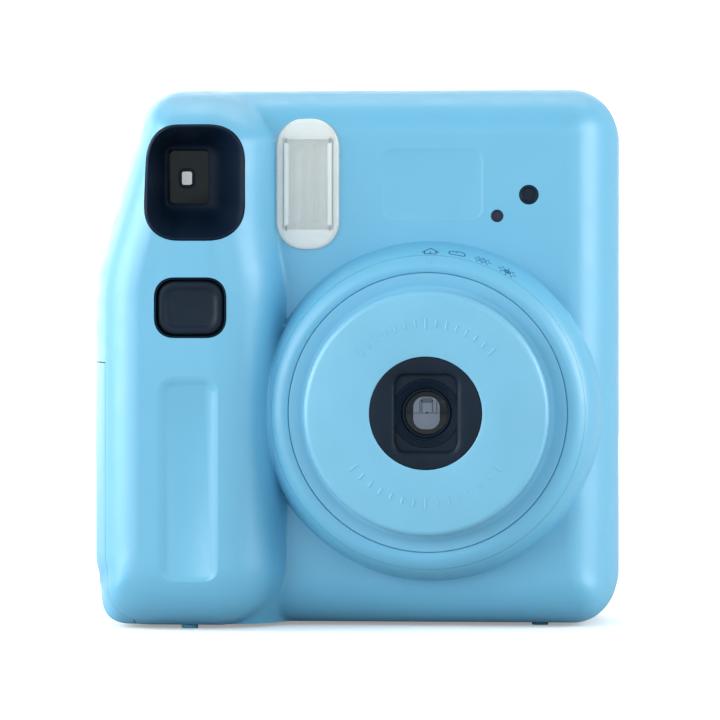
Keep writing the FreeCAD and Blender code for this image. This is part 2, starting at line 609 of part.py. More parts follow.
def battery_bay():
    """Holder open towards the battery door, two cells and their contacts."""
    outer = box("holder_outer", (-51, -36.5), (-25, 6.6), (3.9, 59))
    inner = box("holder_inner", (-60, -38), (-24.7, 5.9), (5, 57.6))
    sub_part(cut("holder", outer, inner), "battery_holder")
    cells = []
    contacts = []
    for i, y in enumerate(("battery_front_y", "battery_rear_y")):
        centre = ("battery_x", y)
        can = rod(f"can_{i}", "z", centre, ("battery_low", "battery_low + battery_length - 1"),
                  "battery_radius")
        cap = rod(f"terminal_{i}", "z", centre, ("battery_low + battery_length - 1",
                                                 "battery_low + battery_length"), "2.7")
        cells.append(fuse(f"cell_{i}", can, cap))
        contacts.append(rod(f"contact_low_{i}", "z", centre, (5, "battery_low"), "3.5"))
        contacts.append(rod(f"contact_high_{i}", "z", centre, ("battery_low + battery_length", 57.6),
                            "2.5"))
    sub_part(group("cells", *cells), "battery_cells")
    sub_part(group("contacts", *contacts), "battery_contacts")


# ---------------------------------------------------------------- film path

def film_path():
    """Dark box, film chamber, film pack and the claw that starts a sheet."""
    flange = block("dark_flange", "lens_x", "lens_z", "68", "68", ("guide_rear", 4.5))
    tube = block("dark_tube", "lens_x", "lens_z", "picture_width + 4", "picture_height + 4",
                 ("guide_rear", "chamber_front"))
    ray = block("dark_inside", "lens_x", "lens_z", "picture_width + 1", "picture_height + 1",
                (4.5, "chamber_front + 1"))
    mouth = rod("dark_mouth", "y", ("lens_x", "lens_z"), (0, 5), "28.5")
    front_ray = common("dark_front", mouth, block("dark_limit", "lens_x", "lens_z", "picture_width + 1",
                                                  "picture_height + 1", (0, 5)))
    sub_part(cut("dark", fuse("dark_solid", flange, tube), ray, front_ray), "dark_box")
    outer = box("chamber_outer", (-17.9, 53.1), ("chamber_front", "chamber_back"), (4.4, 100.6))
    inner = box("chamber_inner", (-16.2, 51.4), ("chamber_front + 2", 40), (6.1, 98.9))
    view = block("chamber_view", "lens_x", "lens_z", "picture_width", "picture_height", (10, 20))
    slot = box("chamber_slot", (-10.9, 46.1), (17, 19.6), (95, 105))
    claw_way = box("claw_way", (-14.4, -11.8), (10, 17), (8, 30))
    sub_part(cut("chamber", outer, inner, view, slot, claw_way), "film_chamber")
    pack = block("pack_block", "lens_x", "52.4", "pack_width", "pack_height", ("pack_front", "pack_back"))
    window = block("pack_window", "lens_x", "lens_z", "picture_width", "picture_height",
                   (10, "pack_front + 1"))
    backs = [box(f"pack_back_{i}", (x, x + 8), ("pack_back - 1", 40), (24, 71))
             for i, x in enumerate((-4, 31))]
    exit_slot = box("pack_exit", (-10, 45.2), ("pack_front + 1", "pack_front + 2"), (96, 100))
    sub_part(cut("pack", pack, window, exit_slot, *backs), "film_pack")
    slide = box("claw_slide", (-15, -11.2), (12.8, 14.2), (8, 22))
    hook = box("claw_hook", (-13.9, -12.3), (14, 16.6), (9, 11))
    sub_part(fuse("claw", slide, hook), "film_claw")


def gear(name, teeth, module, x, y, z, phase, bore):
    """Spur gear about an axis along x; a tooth points from +y towards +z at the phase angle."""
    body = doc.addObject("PartDesign::Body", name)
    pitch_radius = teeth * module / 2
    root = pitch_radius - 1.1 * module
    tip = pitch_radius + 0.9 * module
    pitch = math.pi * module
    plane = [item for item in body.Origin.OriginFeatures if item.Role == "YZ_Plane"][0]
    disc = body.newObject("Sketcher::SketchObject", name + "_disc")
    disc.AttachmentSupport = [(plane, "")]
    disc.MapMode = "FlatFace"
    for radius in (root, bore):
        disc.addGeometry(Part.Circle(FreeCAD.Vector(), FreeCAD.Vector(0, 0, 1), radius))
    blank = body.newObject("PartDesign::Pad", name + "_blank")
    blank.Profile = disc
    bind(blank, Length="gear_width")
    foot = root - 0.15
    outline = [(foot, 0.31 * pitch), (pitch_radius, 0.215 * pitch), (tip, 0.09 * pitch),
               (tip, -0.09 * pitch), (pitch_radius, -0.215 * pitch), (foot, -0.31 * pitch)]
    tooth_sketch = sketch_on(body, "YZ_Plane", outline)
    tooth = body.newObject("PartDesign::Pad", name + "_tooth")
    tooth.Profile = tooth_sketch
    bind(tooth, Length="gear_width")
    doc.recompute()
    ring = body.newObject("PartDesign::PolarPattern", name + "_teeth")
    ring.Originals = [tooth]
    axis = [item for item in body.Origin.OriginFeatures if item.Role == "X_Axis"][0]
    ring.Axis = (axis, [""])
    ring.Angle = 360
    ring.Occurrences = teeth
    body.Tip = ring
    place(body, x, y, z, FreeCAD.Rotation(FreeCAD.Vector(1, 0, 0), phase))
    return body


def meshing(angle, teeth, other_phase, other_teeth):
    """Phase of a gear that meshes with another one that lies back along the angle from it."""
    return angle + 180 + 180 / teeth - (other_phase - angle) * other_teeth / teeth


def rollers():
    """Two rollers with a nip for the sheet, geared together and driven by the motor."""
    front_y = size("film_y - nip / 2 - roller")
    rear_y = size("film_y + nip / 2 + roller")
    height = size("roller_z")
    for name, y, right in (("front_roller", front_y, 51.9), ("rear_roller", rear_y, 48.9)):
        drum = rod(name + "_drum", "x", (y, height), ("roller_left", "roller_right"), "roller")
        axle = rod(name + "_axle", "x", (y, height), (-17.2, right), "1.2")
        sub_part(fuse(name + "_solid", drum, axle), name)
    twin = 10
    module = size("twin_module")
    sub_part(gear("front_twin", twin, module, -17, front_y, height, 0, 1.2), "front_roller_gear")
    sub_part(gear("rear_twin", twin, module, -17, rear_y, height, meshing(0, twin, 0, twin), 1.2),
             "rear_roller_gear")
    module = size("drive_module")
    sub_part(gear("drive", 16, module, 49.2, front_y, height, 0, 1.2), "roller_drive_gear")
    turn = 212
    reach = module * (16 + 22) / 2
    idler_y = front_y + reach * math.cos(math.radians(turn))
    idler_z = height + reach * math.sin(math.radians(turn))
    idler_phase = meshing(turn, 22, 0, 16)
    sub_part(gear("idler", 22, module, 49.2, idler_y, idler_z, idler_phase, 1.05), "idler_gear")
    reach = module * (22 + 10) / 2
    motor_z = idler_z - reach
    sub_part(gear("pinion", 10, module, 49.2, idler_y, motor_z, meshing(-90, 10, idler_phase, 22), 0.75),
             "motor_pinion")
    can = rod("motor_can", "x", (idler_y, motor_z), (20, 42), "6")
    shaft = rod("motor_shaft", "x", (idler_y, motor_z), (42, 49), "0.75")
    sub_part(fuse("motor", can, shaft), "drive_motor")
    plates = [box("left_plate", (-13.5, -12), (10, 27), (101, 110.8)),
              box("right_plate", (47, 48.5), (10, 27), (101, 110.8)),
              box("drive_plate", (47, 48.5), (1, 13.5), (86, 110.8)),
              box("back_bar", (-12.5, 47.5), (25.5, 27), (101, 110.8)),
              rod("idler_stud", "x", (idler_y, idler_z), (48, 51.9), "1")]
    holes = [rod("front_bearing", "x", (front_y, height), (-20, 60), "1.25"),
             rod("rear_bearing", "x", (rear_y, height), (-20, 60), "1.25"),
             rod("shaft_hole", "x", (idler_y, motor_z), (40, 60), "0.9")]
    sub_part(cut("roller_plates", fuse("roller_solid", *plates), *holes), "roller_frame")


front_cover()
rear_cover()
film_door()
door_pieces()
battery_door()
trim()
lens_group()
shutter_group()
viewfinder()
flash()
shutter_release()
electrics()
battery_bay()
film_path()
rollers()
doc.recompute()

faults = [obj.Name for obj in doc.Objects if "Invalid" in obj.State or "Error" in obj.State]
faults += [obj.Label for obj in sub_parts if obj.Shape.isNull() or not obj.Shape.isValid()]
if faults:
    raise RuntimeError("failed: " + ", ".join(faults))

os.makedirs("parts", exist_ok=True)
for obj in sub_parts:
    obj.Shape.exportStep(os.path.join("parts", obj.Label + ".step"))
    print(f"{obj.Label:24s} solids {len(obj.Shape.Solids)}  volume {obj.Shape.Volume:10.1f}")
print(len(sub_parts), "sub-parts")
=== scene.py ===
import math
import bpy
import bmesh
import numpy as np
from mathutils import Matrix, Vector


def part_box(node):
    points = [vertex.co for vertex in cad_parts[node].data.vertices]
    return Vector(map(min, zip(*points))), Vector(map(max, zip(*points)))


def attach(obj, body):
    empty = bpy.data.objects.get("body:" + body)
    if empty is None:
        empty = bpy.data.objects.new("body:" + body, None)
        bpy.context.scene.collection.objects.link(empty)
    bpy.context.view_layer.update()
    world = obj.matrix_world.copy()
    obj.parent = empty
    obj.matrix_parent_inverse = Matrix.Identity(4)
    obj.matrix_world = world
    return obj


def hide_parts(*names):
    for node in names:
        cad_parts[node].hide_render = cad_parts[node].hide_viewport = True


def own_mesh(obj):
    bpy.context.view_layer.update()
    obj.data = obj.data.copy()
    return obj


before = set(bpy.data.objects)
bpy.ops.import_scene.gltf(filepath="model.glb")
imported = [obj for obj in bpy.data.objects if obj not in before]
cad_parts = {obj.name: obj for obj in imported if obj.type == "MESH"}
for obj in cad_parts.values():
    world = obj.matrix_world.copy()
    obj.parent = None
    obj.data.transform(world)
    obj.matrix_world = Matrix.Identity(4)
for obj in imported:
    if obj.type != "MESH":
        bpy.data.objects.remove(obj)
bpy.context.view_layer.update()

# Sizes are in millimetres, in the part's frame: +X right, -Y towards the subject, +Z up.
MM = 0.001
scene = bpy.context.scene


def node_box(node):
    """Lowest and highest corner of a CAD node in millimetres."""
    low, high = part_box(node)
    return np.array(low) / MM, np.array(high) / MM


def centre_of(node):
    low, high = node_box(node)
    return (low + high) / 2


# ---- sizes

case_low, case_high = node_box("front_cover")
ROUNDING = 0.002  # keeps the smoothed skins inside the case box
HALF = case_high[0] - ROUNDING
BASE = case_low[2]
TOP = case_high[2] - ROUNDING
PARTING = case_high[1]
FACE = -16.0
GRIP_RISE = 15.0
GRIP_RIGHT = -15.2
GRIP_ROUND = 13.6
EDGE_ROUND = 11.0
EDGE_POWER = 2.1
SHOULDER = 77.3
LEAN = math.radians(16.7)
WALL = 1.8
SEAM = 0.12
DOOR_GAP = 0.22
RING_FILLET = 1.3  # blend between the lens ring and the face round it
GRIP_LEAN = 2.4
GRIP_TURNS = (72, 90)  # heights between which the grip's right flank leans over
SQUARED = 2.3  # squareness of the viewfinder's, button's and lens well's corners: 2 is round
FLASH_SQUARED = 2.2
CORNER_STEPS = 12  # pieces of a rounded corner
FINE_STEPS = 14
AHEAD = -40  # in front of the whole camera: where the long cutters start
FINDER_OPENING = (21.7, 25.2, 8.0)  # width, height and corner radius
BUTTON_OPENING = (15.7, 13.1, 4.6)
FLASH_OPENING = (14.0, 28.6, 6.55)
FLASH_SIZE = (13.96, 28.56, 6.53)
PLAQUE = (18.0, 96.9)  # x and z of its middle
PLAQUE_SIZE = (20.8, 14.2, 1.9)
GROOVE_HEIGHT = 32.4
GROOVE_SIZE = (9.7, 41.7, 1.8)
GROOVE_DEPTH = 0.7

LENS = centre_of("lens_front_plate")
RING_MIDDLE = 31.3
RING_WIDTH = 5.4
RING_RISE = 11.2
DIAL_EDGE = 33.9
BORE = DIAL_EDGE + 0.04

FINDER = centre_of("viewfinder_hood")
BUTTON = centre_of("shutter_button")
FLASH = centre_of("flash_window")
SENSOR = centre_of("exposure_sensor_window")
CELL = centre_of("flash_sensor_window")


# ---- materials

def new_material(name):
    material = bpy.data.materials.new(name)
    material.use_nodes = True
    tree = material.node_tree
    shader = tree.nodes["Principled BSDF"]
    return material, tree, shader


def set_inputs(node, values):
    for name, value in values.items():
        node.inputs[name].default_value = value


def noise(tree, scale, detail, stretch=None):
    """Noise in the object's own millimetres."""
    place = tree.nodes.new("ShaderNodeTexCoord")
    grid = tree.nodes.new("ShaderNodeMapping")
    factor = 1 / MM
    grid.inputs["Scale"].default_value = [factor * s for s in (stretch or (1, 1, 1))]
    tree.links.new(place.outputs["Object"], grid.inputs["Vector"])
    texture = tree.nodes.new("ShaderNodeTexNoise")
    set_inputs(texture, {"Scale": scale, "Detail": detail})
    tree.links.new(grid.outputs["Vector"], texture.inputs["Vector"])
    return texture.outputs["Fac"]


def remap(tree, value, low, high, start=0.3, end=0.7):
    node = tree.nodes.new("ShaderNodeMapRange")
    set_inputs(node, {"From Min": start, "From Max": end, "To Min": low, "To Max": high})
    tree.links.new(value, node.inputs["Value"])
    return node.outputs["Result"]


def mixed(tree, factor, low, high):
    mix = tree.nodes.new("ShaderNodeMix")
    mix.data_type = "RGBA"
    set_inputs(mix, {"A": (*low, 1), "B": (*high, 1)})
    tree.links.new(factor, mix.inputs["Factor"])
    return mix


def roughen(tree, shader, texture, strength, depth):
    bump = tree.nodes.new("ShaderNodeBump")
    set_inputs(bump, {"Strength": strength, "Distance": depth * MM})
    tree.links.new(texture, bump.inputs["Height"])
    tree.links.new(bump.outputs["Normal"], shader.inputs["Normal"])


def surface(name, colour, roughness, shift, grain=4.0, depth=0.02, metal=0.0, coat=0.0,
            gloss_spread=0.12, stretch=None, worn=None, specular=None):
    """Solid material: cloudy colour, uneven gloss, fine grain and, where worn is given, small specks."""
    material, tree, shader = new_material(name)
    dark = [c * (1 - shift) for c in colour]
    pale = [min(1, c * (1 + shift)) for c in colour]
    tint = mixed(tree, remap(tree, noise(tree, 0.08, 2), 0, 1), dark, pale).outputs["Result"]
    if worn:
        speck = mixed(tree, remap(tree, noise(tree, 0.7, 6), 0, 0.35, 0.66, 0.74), worn, worn)
        tree.links.new(tint, speck.inputs["A"])
        tint = speck.outputs["Result"]
    tree.links.new(tint, shader.inputs["Base Color"])
    uneven = remap(tree, noise(tree, 0.25, 4), roughness - gloss_spread / 2, roughness + gloss_spread / 2)
    tree.links.new(uneven, shader.inputs["Roughness"])
    set_inputs(shader, {"Metallic": metal, "Coat Weight": coat})
    if specular is not None:
        shader.inputs["Specular IOR Level"].default_value = specular
    roughen(tree, shader, noise(tree, grain, 2, stretch), 0.35, depth)
    return material


def clear(name, colour, roughness, alpha, grain=1.5, depth=0.01, coat=0.6):
    """Clear or milky plastic or glass with a faint ripple: alpha is how much of it one sees."""
    material, tree, shader = new_material(name)
    tint = mixed(tree, remap(tree, noise(tree, 0.2, 2), 0, 1), [c * 0.94 for c in colour], colour)
    tree.links.new(tint.outputs["Result"], shader.inputs["Base Color"])
    tree.links.new(remap(tree, noise(tree, 0.5, 3), roughness, roughness + 0.06), shader.inputs["Roughness"])
    set_inputs(shader, {"Alpha": alpha, "Coat Weight": coat})
    roughen(tree, shader, noise(tree, grain, 2), 0.3, depth)
    return material


SKY = (0.145, 0.465, 0.685)
blue = surface("blue_plastic", SKY, 0.42, shift=0.012, grain=5.0, depth=0.012, worn=(0.15, 0.48, 0.70),
               specular=0.9)
blue_lens = surface("lens_plastic", (0.18, 0.495, 0.70), 0.36, shift=0.02, grain=6.0, depth=0.008,
                    specular=0.9)
black = surface("black_plastic", (0.002, 0.010, 0.026), 0.5, shift=0.2, grain=6.0, depth=0.015, specular=0.15)
button_black = surface("button_plastic", (0.006, 0.014, 0.028), 0.42, shift=0.15, grain=8.0, depth=0.01,
                       specular=0.2)
inner_black = surface("inner_black", (0.004, 0.006, 0.010), 0.7, shift=0.25, grain=3.0, depth=0.03,
                      worn=(0.02, 0.02, 0.022))
glass_black = surface("dark_glass", (0.004, 0.005, 0.008), 0.12, shift=0.2, grain=1.0, depth=0.004, coat=0.2,
                      gloss_spread=0.04)
# the next two colours are painted reflection on the lens glass: its pale grey window shape and its darker
# strips
painted_reflection_grey = surface("painted_reflection_grey", (0.16, 0.185, 0.25), 0.45, shift=0.05, depth=0.004)
painted_reflection_shade = surface("painted_reflection_shade", (0.065, 0.078, 0.11), 0.45, shift=0.08, depth=0.004)
cell_glass = surface("cell_glass", (0.028, 0.034, 0.066), 0.4, shift=0.2, grain=2.0, depth=0.006,
                     specular=0.3)
steel = surface("bright_steel", (0.55, 0.55, 0.57), 0.3, shift=0.08, grain=2.5, metal=1.0,
                stretch=(0.2, 1, 1), worn=(0.4, 0.38, 0.36))
blackened = surface("blackened_metal", (0.02, 0.02, 0.022), 0.5, shift=0.2, metal=0.8, grain=5.0)
mirror = surface("reflector_metal", (0.97, 0.97, 0.94), 0.34, shift=0.04, grain=1.0, depth=0.03, metal=0.7,
                 stretch=(3, 1, 0.15))
bright_white = surface("bright_white", (0.95, 0.97, 0.98), 0.3, shift=0.02)
pale_grey = surface("pale_grey", (0.95, 0.94, 0.91), 0.4, shift=0.02, depth=0.015)
smoke = surface("smoke_mark", (0.06, 0.07, 0.09), 0.4, shift=0.1)
# painted light: the white of the bright view through the viewfinder
painted_light_white = surface("painted_light_white", (0.86, 0.87, 0.86), 0.35, shift=0.03)
gear_white = surface("gear_plastic", (0.8, 0.79, 0.74), 0.45, shift=0.04, worn=(0.6, 0.58, 0.52))
board_green = surface("circuit_board", (0.02, 0.13, 0.06), 0.3, shift=0.25, grain=1.2, depth=0.05,
                      worn=(0.45, 0.35, 0.12))
sleeve = surface("capacitor_sleeve", (0.015, 0.02, 0.04), 0.25, shift=0.2, grain=2.0, worn=(0.3, 0.3, 0.32))
cell_sleeve = surface("battery_sleeve", (0.05, 0.05, 0.055), 0.25, shift=0.15, grain=2.0,
                      worn=(0.5, 0.36, 0.1))
rubber = surface("foot_rubber", (0.09, 0.30, 0.44), 0.7, shift=0.08, grain=3.0, depth=0.04)
ink = surface("dial_ink", (0.01, 0.10, 0.24), 0.5, shift=0.1, grain=8.0, depth=0.003)
lens_glass = clear("lens_glass", (0.005, 0.008, 0.016), 0.03, 0.4, coat=0.0)
clear_plastic = clear("clear_plastic", (0.95, 0.97, 0.95), 0.12, 0.32)
frosted = clear("frosted_plastic", (0.88, 0.89, 0.87), 0.3, 0.6, grain=3.0, depth=0.05)


# ---- mesh tools

def add_object(name, data):
    obj = bpy.data.objects.new(name, data)
    scene.collection.objects.link(obj)
    return obj


def make(name, verts, faces, material, smooth=35):
    """Mesh object from millimetre points, with its normals turned out and hard edges kept."""
    mesh = bpy.data.meshes.new(name)
    mesh.from_pydata((np.asarray(verts, float) * MM).tolist(), [], [list(map(int, f)) for f in faces])
    mesh.materials.append(material)
    obj = add_object(name, mesh)
    tidy(obj, smooth)
    return obj


def tidy(obj, smooth):
    """Merge doubled points, turn faces outwards, shade smooth up to an angle."""
    work = bmesh.new()
    work.from_mesh(obj.data)
    bmesh.ops.remove_doubles(work, verts=work.verts, dist=1e-7)
    bmesh.ops.dissolve_degenerate(work, edges=work.edges, dist=1e-8)
    bmesh.ops.recalc_face_normals(work, faces=work.faces)
    work.to_mesh(obj.data)
    work.free()
    obj.data.shade_smooth()
    obj.data.set_sharp_from_angle(angle=math.radians(smooth))
    obj.data.update()


def join(name, *objects):
    """One object from several, keeping their materials."""
    whole = bmesh.new()
    slots = []
    for obj in objects:
        first = len(whole.faces)
        whole.from_mesh(obj.data)
        whole.faces.ensure_lookup_table()
        for face in whole.faces[first:]:
            material = obj.data.materials[face.material_index]
            if material not in slots:
                slots.append(material)
            face.material_index = slots.index(material)
    mesh = bpy.data.meshes.new(name)
    whole.to_mesh(mesh)
    whole.free()
    for material in slots:
        mesh.materials.append(material)
    joined = add_object(name, mesh)
    for obj in objects:
        bpy.data.objects.remove(obj)
    return joined


def combine(obj, tool, operation="DIFFERENCE", smooth=35):
    """Exact boolean, applied at once."""
    modifier = obj.modifiers.new("shape", "BOOLEAN")
    modifier.operation = operation
    modifier.solver = "EXACT"
    modifier.object = tool
    graph = bpy.context.evaluated_depsgraph_get()
    mesh = bpy.data.meshes.new_from_object(obj.evaluated_get(graph))
    obj.modifiers.clear()
    obj.data = mesh
    bpy.data.objects.remove(tool)
    tidy(obj, smooth)
    return obj


def loops(name, rings, material, closed=False, smooth=35):
    """Skin over rings of equally many points, capped at both ends or closed on itself."""
    count = len(rings[0])
    verts = np.concatenate([np.asarray(ring, float) for ring in rings])
    faces = []
    last = len(rings) if closed else len(rings) - 1
    for i in range(last):
        a, b = i * count, ((i + 1) % len(rings)) * count
        for j in range(count):
            k = (j + 1) % count
            faces.append((a + j, a + k, b + k, b + j))
    if not closed:
        faces.append(range(count))
        faces.append(range((len(rings) - 1) * count, len(rings) * count))
    return make(name, verts, faces, material, smooth)


def filleted(points, radii, steps):
    """Closed outline with each corner rounded by its own radius."""
    points = [np.array(p, float) for p in points]
    count = len(points)
    radii = radii if hasattr(radii, "__len__") else [radii] * count
    out = []
    for i, corner in enumerate(points):
        before, after = points[i - 1] - corner, points[(i + 1) % count] - corner
        short = min(np.linalg.norm(before), np.linalg.norm(after))
        before, after = before / np.linalg.norm(before), after / np.linalg.norm(after)
        half = math.acos(np.clip(before @ after, -1, 1)) / 2
        if radii[i] <= 0 or half > math.radians(89):
            out.append(corner)
            continue
        reach = min(radii[i] / math.tan(half), short * 0.49)
        radius = reach * math.tan(half)
        bisector = (before + after) / np.linalg.norm(before + after)
        middle = corner + bisector * radius / math.sin(half)
        start, end = corner + before * reach - middle, corner + after * reach - middle
        sweep = math.acos(np.clip(start @ end / radius ** 2, -1, 1))
        for j in range(steps + 1):
            share = j / steps
            out.append(middle + (start * math.sin((1 - share) * sweep) + end * math.sin(share * sweep))
                       / math.sin(sweep))
    return np.array(out)


def lathe(name, profile, material, rounding=0.0, centre=LENS, segments=160):
    """Turned solid about a line along Y: profile holds radius and depth, rounding softens its corners."""
    line = filleted(profile, rounding, steps=5)
    angles = full_turn(segments)
    across, up = np.sin(angles), np.cos(angles)
    rings = [np.stack([centre[0] + r * across, np.full(segments, y), centre[2] + r * up], 1) for r, y in line]
    return loops(name, rings, material, closed=True)


def rounded_rectangle(centre, width, height, corner, steps=10, power=2.0):
    """Outline in x and z: power above 2 squares the corners off more gently."""
    corner = min(corner, width / 2 - 1e-3, height / 2 - 1e-3)
    out = []
    for across, up, turn in ((1, 1, 0), (-1, 1, 1), (-1, -1, 2), (1, -1, 3)):
        for j in range(steps + 1):
            angle = math.pi / 2 * (turn + j / steps)
            c, s = math.cos(angle), math.sin(angle)
            x = math.copysign(abs(c) ** (2 / power), c)
            z = math.copysign(abs(s) ** (2 / power), s)
            out.append((centre[0] + across * (width / 2 - corner) + corner * x,
                        centre[1] + up * (height / 2 - corner) + corner * z))
    return np.array(out)


def squared(centre, width, height, corner):
    return rounded_rectangle(centre, width, height, corner, CORNER_STEPS, SQUARED)


def full_turn(count):
    return np.linspace(0, 2 * math.pi, count, endpoint=False)


def at_depth(outline, y):
    y = np.broadcast_to(y, len(outline))
    return np.stack([outline[:, 0], y, outline[:, 1]], 1)


def plate(name, centre, width, height, corner, front, back, material, edge, power=2.0, steps=10):
    """Rounded plate facing -Y, with a soft front edge."""
    rings = [at_depth(rounded_rectangle(centre, width, height, corner, steps, power), back)]
    for j in range(6):
        angle = math.pi / 2 * j / 5
        inset = edge * (1 - math.cos(angle))
        rings.append(at_depth(rounded_rectangle(centre, width - 2 * inset, height - 2 * inset,
                                                corner - inset, steps, power),
                              front + edge * (1 - math.sin(angle))))
    return loops(name, rings, material)


def brick(name, low, high, material, edge):
    """Block between two corners, with its edges broken."""
    centre = ((low[0] + high[0]) / 2, (low[2] + high[2]) / 2)
    width, height = high[0] - low[0], high[2] - low[2]
    corner = max(edge, 0.01)
    rings = [at_depth(rounded_rectangle(centre, width - 2 * i, height - 2 * i, corner, 3), y)
             for i, y in ((edge, low[1]), (0, low[1] + edge), (0, high[1] - edge), (edge, high[1]))]
    return loops(name, rings, material)


def bar(name, start, end, radius, material, segments=24):
    """Round bar between two points, with broken ends."""
    start, end = np.array(start, float), np.array(end, float)
    along = (end - start) / np.linalg.norm(end - start)
    side = np.cross(along, (0, 0, 1) if abs(along[2]) < 0.9 else (1, 0, 0))
    side /= np.linalg.norm(side)
    other = np.cross(along, side)
    angles = full_turn(segments)[:, None]
    rim = np.cos(angles) * side + np.sin(angles) * other
    bevel = radius * 0.15
    rings = [start + rim * (radius - bevel), start + along * bevel + rim * radius,
             end - along * bevel + rim * radius, end + rim * (radius - bevel)]
    return loops(name, rings, material)


def show(obj, body, *nodes, slot=None):
    """Let a finished piece ride on its body in place of the CAD nodes that it stands for."""
    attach(obj, body)
    if nodes:
        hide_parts(*nodes)
    return obj


# ---- case shape

def case_corners():
    """Corner points of the front outline, anticlockwise from the low left, with their radii."""
    shoulder_top = -HALF + (TOP - SHOULDER) * math.tan(LEAN)
    points = [(-HALF, BASE), (HALF, BASE), (HALF, TOP), (shoulder_top, TOP), (-HALF, SHOULDER)]
    return [np.array(p) for p in points], [9.5, 9.5, 10.5, 10.5, 40.0]


CORNERS, CORNER_RADII = case_corners()
# the front face rounds its low left corner off further than the outline does
FRONT_RADII = [15.0] + CORNER_RADII[1:]


def side_normals():
    """Outward normal of the side that leaves each corner."""
    normals = []
    for i, corner in enumerate(CORNERS):
        along = CORNERS[(i + 1) % len(CORNERS)] - corner
        along = along / np.linalg.norm(along)
        normals.append(np.array([along[1], -along[0]]))
    return normals


NORMALS = side_normals()


def inside_distance(x, z, radii=CORNER_RADII):
    """Distance from points to the case outline, positive inside."""
    distance = np.full(np.shape(x), 1e3)
    for corner, normal in zip(CORNERS, NORMALS):
        distance = np.minimum(distance, -((x - corner[0]) * normal[0] + (z - corner[1]) * normal[1]))
    for i, (corner, radius) in enumerate(zip(CORNERS, radii)):
        first, second = NORMALS[i - 1], NORMALS[i]
        middle = corner - (first + second) * radius / (1 + first @ second)
        dx, dz = x - middle[0], z - middle[1]
        in_corner = (first[0] * dz - first[1] * dx >= 0) & (dx * second[1] - dz * second[0] >= 0)
        distance = np.where(in_corner, radius - np.hypot(dx, dz), distance)
    return distance


def case_outline(inset):
    """Points along the case outline, moved in by inset, anticlockwise."""
    spacing = 0.6
    shifted = []
    for i, corner in enumerate(CORNERS):
        first, second = NORMALS[i - 1], NORMALS[i]
        shifted.append(corner - (first + second) * inset / (1 + first @ second))
    line = filleted(shifted, [max(r - inset, 0.01) for r in CORNER_RADII], 28)
    out = []
    for a, b in zip(line, np.roll(line, -1, 0)):
        pieces = max(1, int(np.linalg.norm(b - a) / spacing))
        out += [a + (b - a) * j / pieces for j in range(pieces)]
    return np.array(out)


def reach(angles, inset):
    """Distance from the lens axis to the outline along rays, angles clockwise from the top."""
    outline = case_outline(inset)
    turn = np.arctan2(outline[:, 0] - LENS[0], outline[:, 1] - LENS[2]) % (2 * math.pi)
    far = np.hypot(outline[:, 0] - LENS[0], outline[:, 1] - LENS[2])
    order = np.argsort(turn)
    return np.interp(angles, turn[order], far[order], period=2 * math.pi)


def soft_max(a, b, blend):
    """Larger of two heights, with a fillet between them."""
    near = np.clip(0.5 + (a - b) / (2 * blend), 0, 1)
    return b + (a - b) * near + blend * near * (1 - near)


def step_up(value, start, end):
    """Smooth step from 0 at start to 1 at end."""
    share = np.clip((value - start) / (end - start), 0, 1)
    return share * share * (3 - 2 * share)


def edge_fall(share, depth, power=2.0):
    """Fall of a rounded edge: share runs from 0 on the flat to 1 at the outline."""
    return depth * (1 - np.maximum(1 - share ** power, 0) ** (1 / power))


def grip_height(distance, x, z, inset, depth):
    """Height of the grip: an edge at the case outline and a quarter-round flank on its right."""
    radius = GRIP_ROUND - inset
    flank = GRIP_RIGHT - GRIP_LEAN * step_up(z, *GRIP_TURNS) - inset - x
    to_edge = radius - np.clip(distance, 0, radius)
    to_flank = radius - np.minimum(flank, radius)
    reached = np.hypot(to_edge, to_flank)
    flank_weight = to_flank ** 2 / np.maximum(reached ** 2, 1e-9)
    share = reached / radius
    depth = np.sqrt((1 - flank_weight) * depth ** 2 + flank_weight * radius ** 2)
    exact = edge_fall(np.minimum(share, 1), depth, EDGE_POWER)
    last = 0.955
    steepest = last / math.sqrt(1 - last ** 2)
    beyond = edge_fall(np.minimum(share, last), depth) + steepest * depth * np.maximum(share - last, 0)
    return GRIP_RISE - inset - (1 - flank_weight) * exact - flank_weight * beyond


def face_height(x, z, inset=0.0):
    """Height of the front face over the main face, without the lens ring."""
    to_outline = np.maximum(inside_distance(x, z) - inset, 0)
    distance = soft_max(inside_distance(x, z, FRONT_RADII) - inset, 0.3 * to_outline, 0.5)
    width = EDGE_ROUND - inset
    away_from_base = step_up(z - BASE - inset - to_outline, -0.5, 7)
    full_depth = PARTING - 0.7 - FACE
    edge_depth = EDGE_ROUND + (full_depth - EDGE_ROUND) * away_from_base - inset
    main = -inset - edge_fall((width - np.clip(distance, 0, width)) / width, edge_depth, EDGE_POWER)
    grip_depth = GRIP_ROUND + (GRIP_RISE + full_depth - GRIP_ROUND) * away_from_base - inset
    grip = grip_height(distance, x, z, inset, grip_depth)
    valley = 0.4 + 2.5 * step_up(z, *GRIP_TURNS)
    return soft_max(grip, main, valley)


def ring_height(radius):
    """Height of the lens ring over the main face: an ellipse that ends in a steep straight flank."""
    across = np.abs(radius - RING_MIDDLE) / RING_WIDTH
    last = 0.985
    flank = RING_RISE * last / math.sqrt(1 - last ** 2)
    curved = RING_RISE * np.sqrt(1 - np.minimum(across, last) ** 2)
    return curved - flank * np.maximum(across - last, 0)


def lean_at(radius):
    """Angle round the ring's elliptic profile at a distance from the lens axis."""
    return math.asin((radius - RING_MIDDLE) / RING_WIDTH)


def radius_at(lean):
    return RING_MIDDLE + RING_WIDTH * math.sin(lean)


# ---- case shells

RAYS = 720


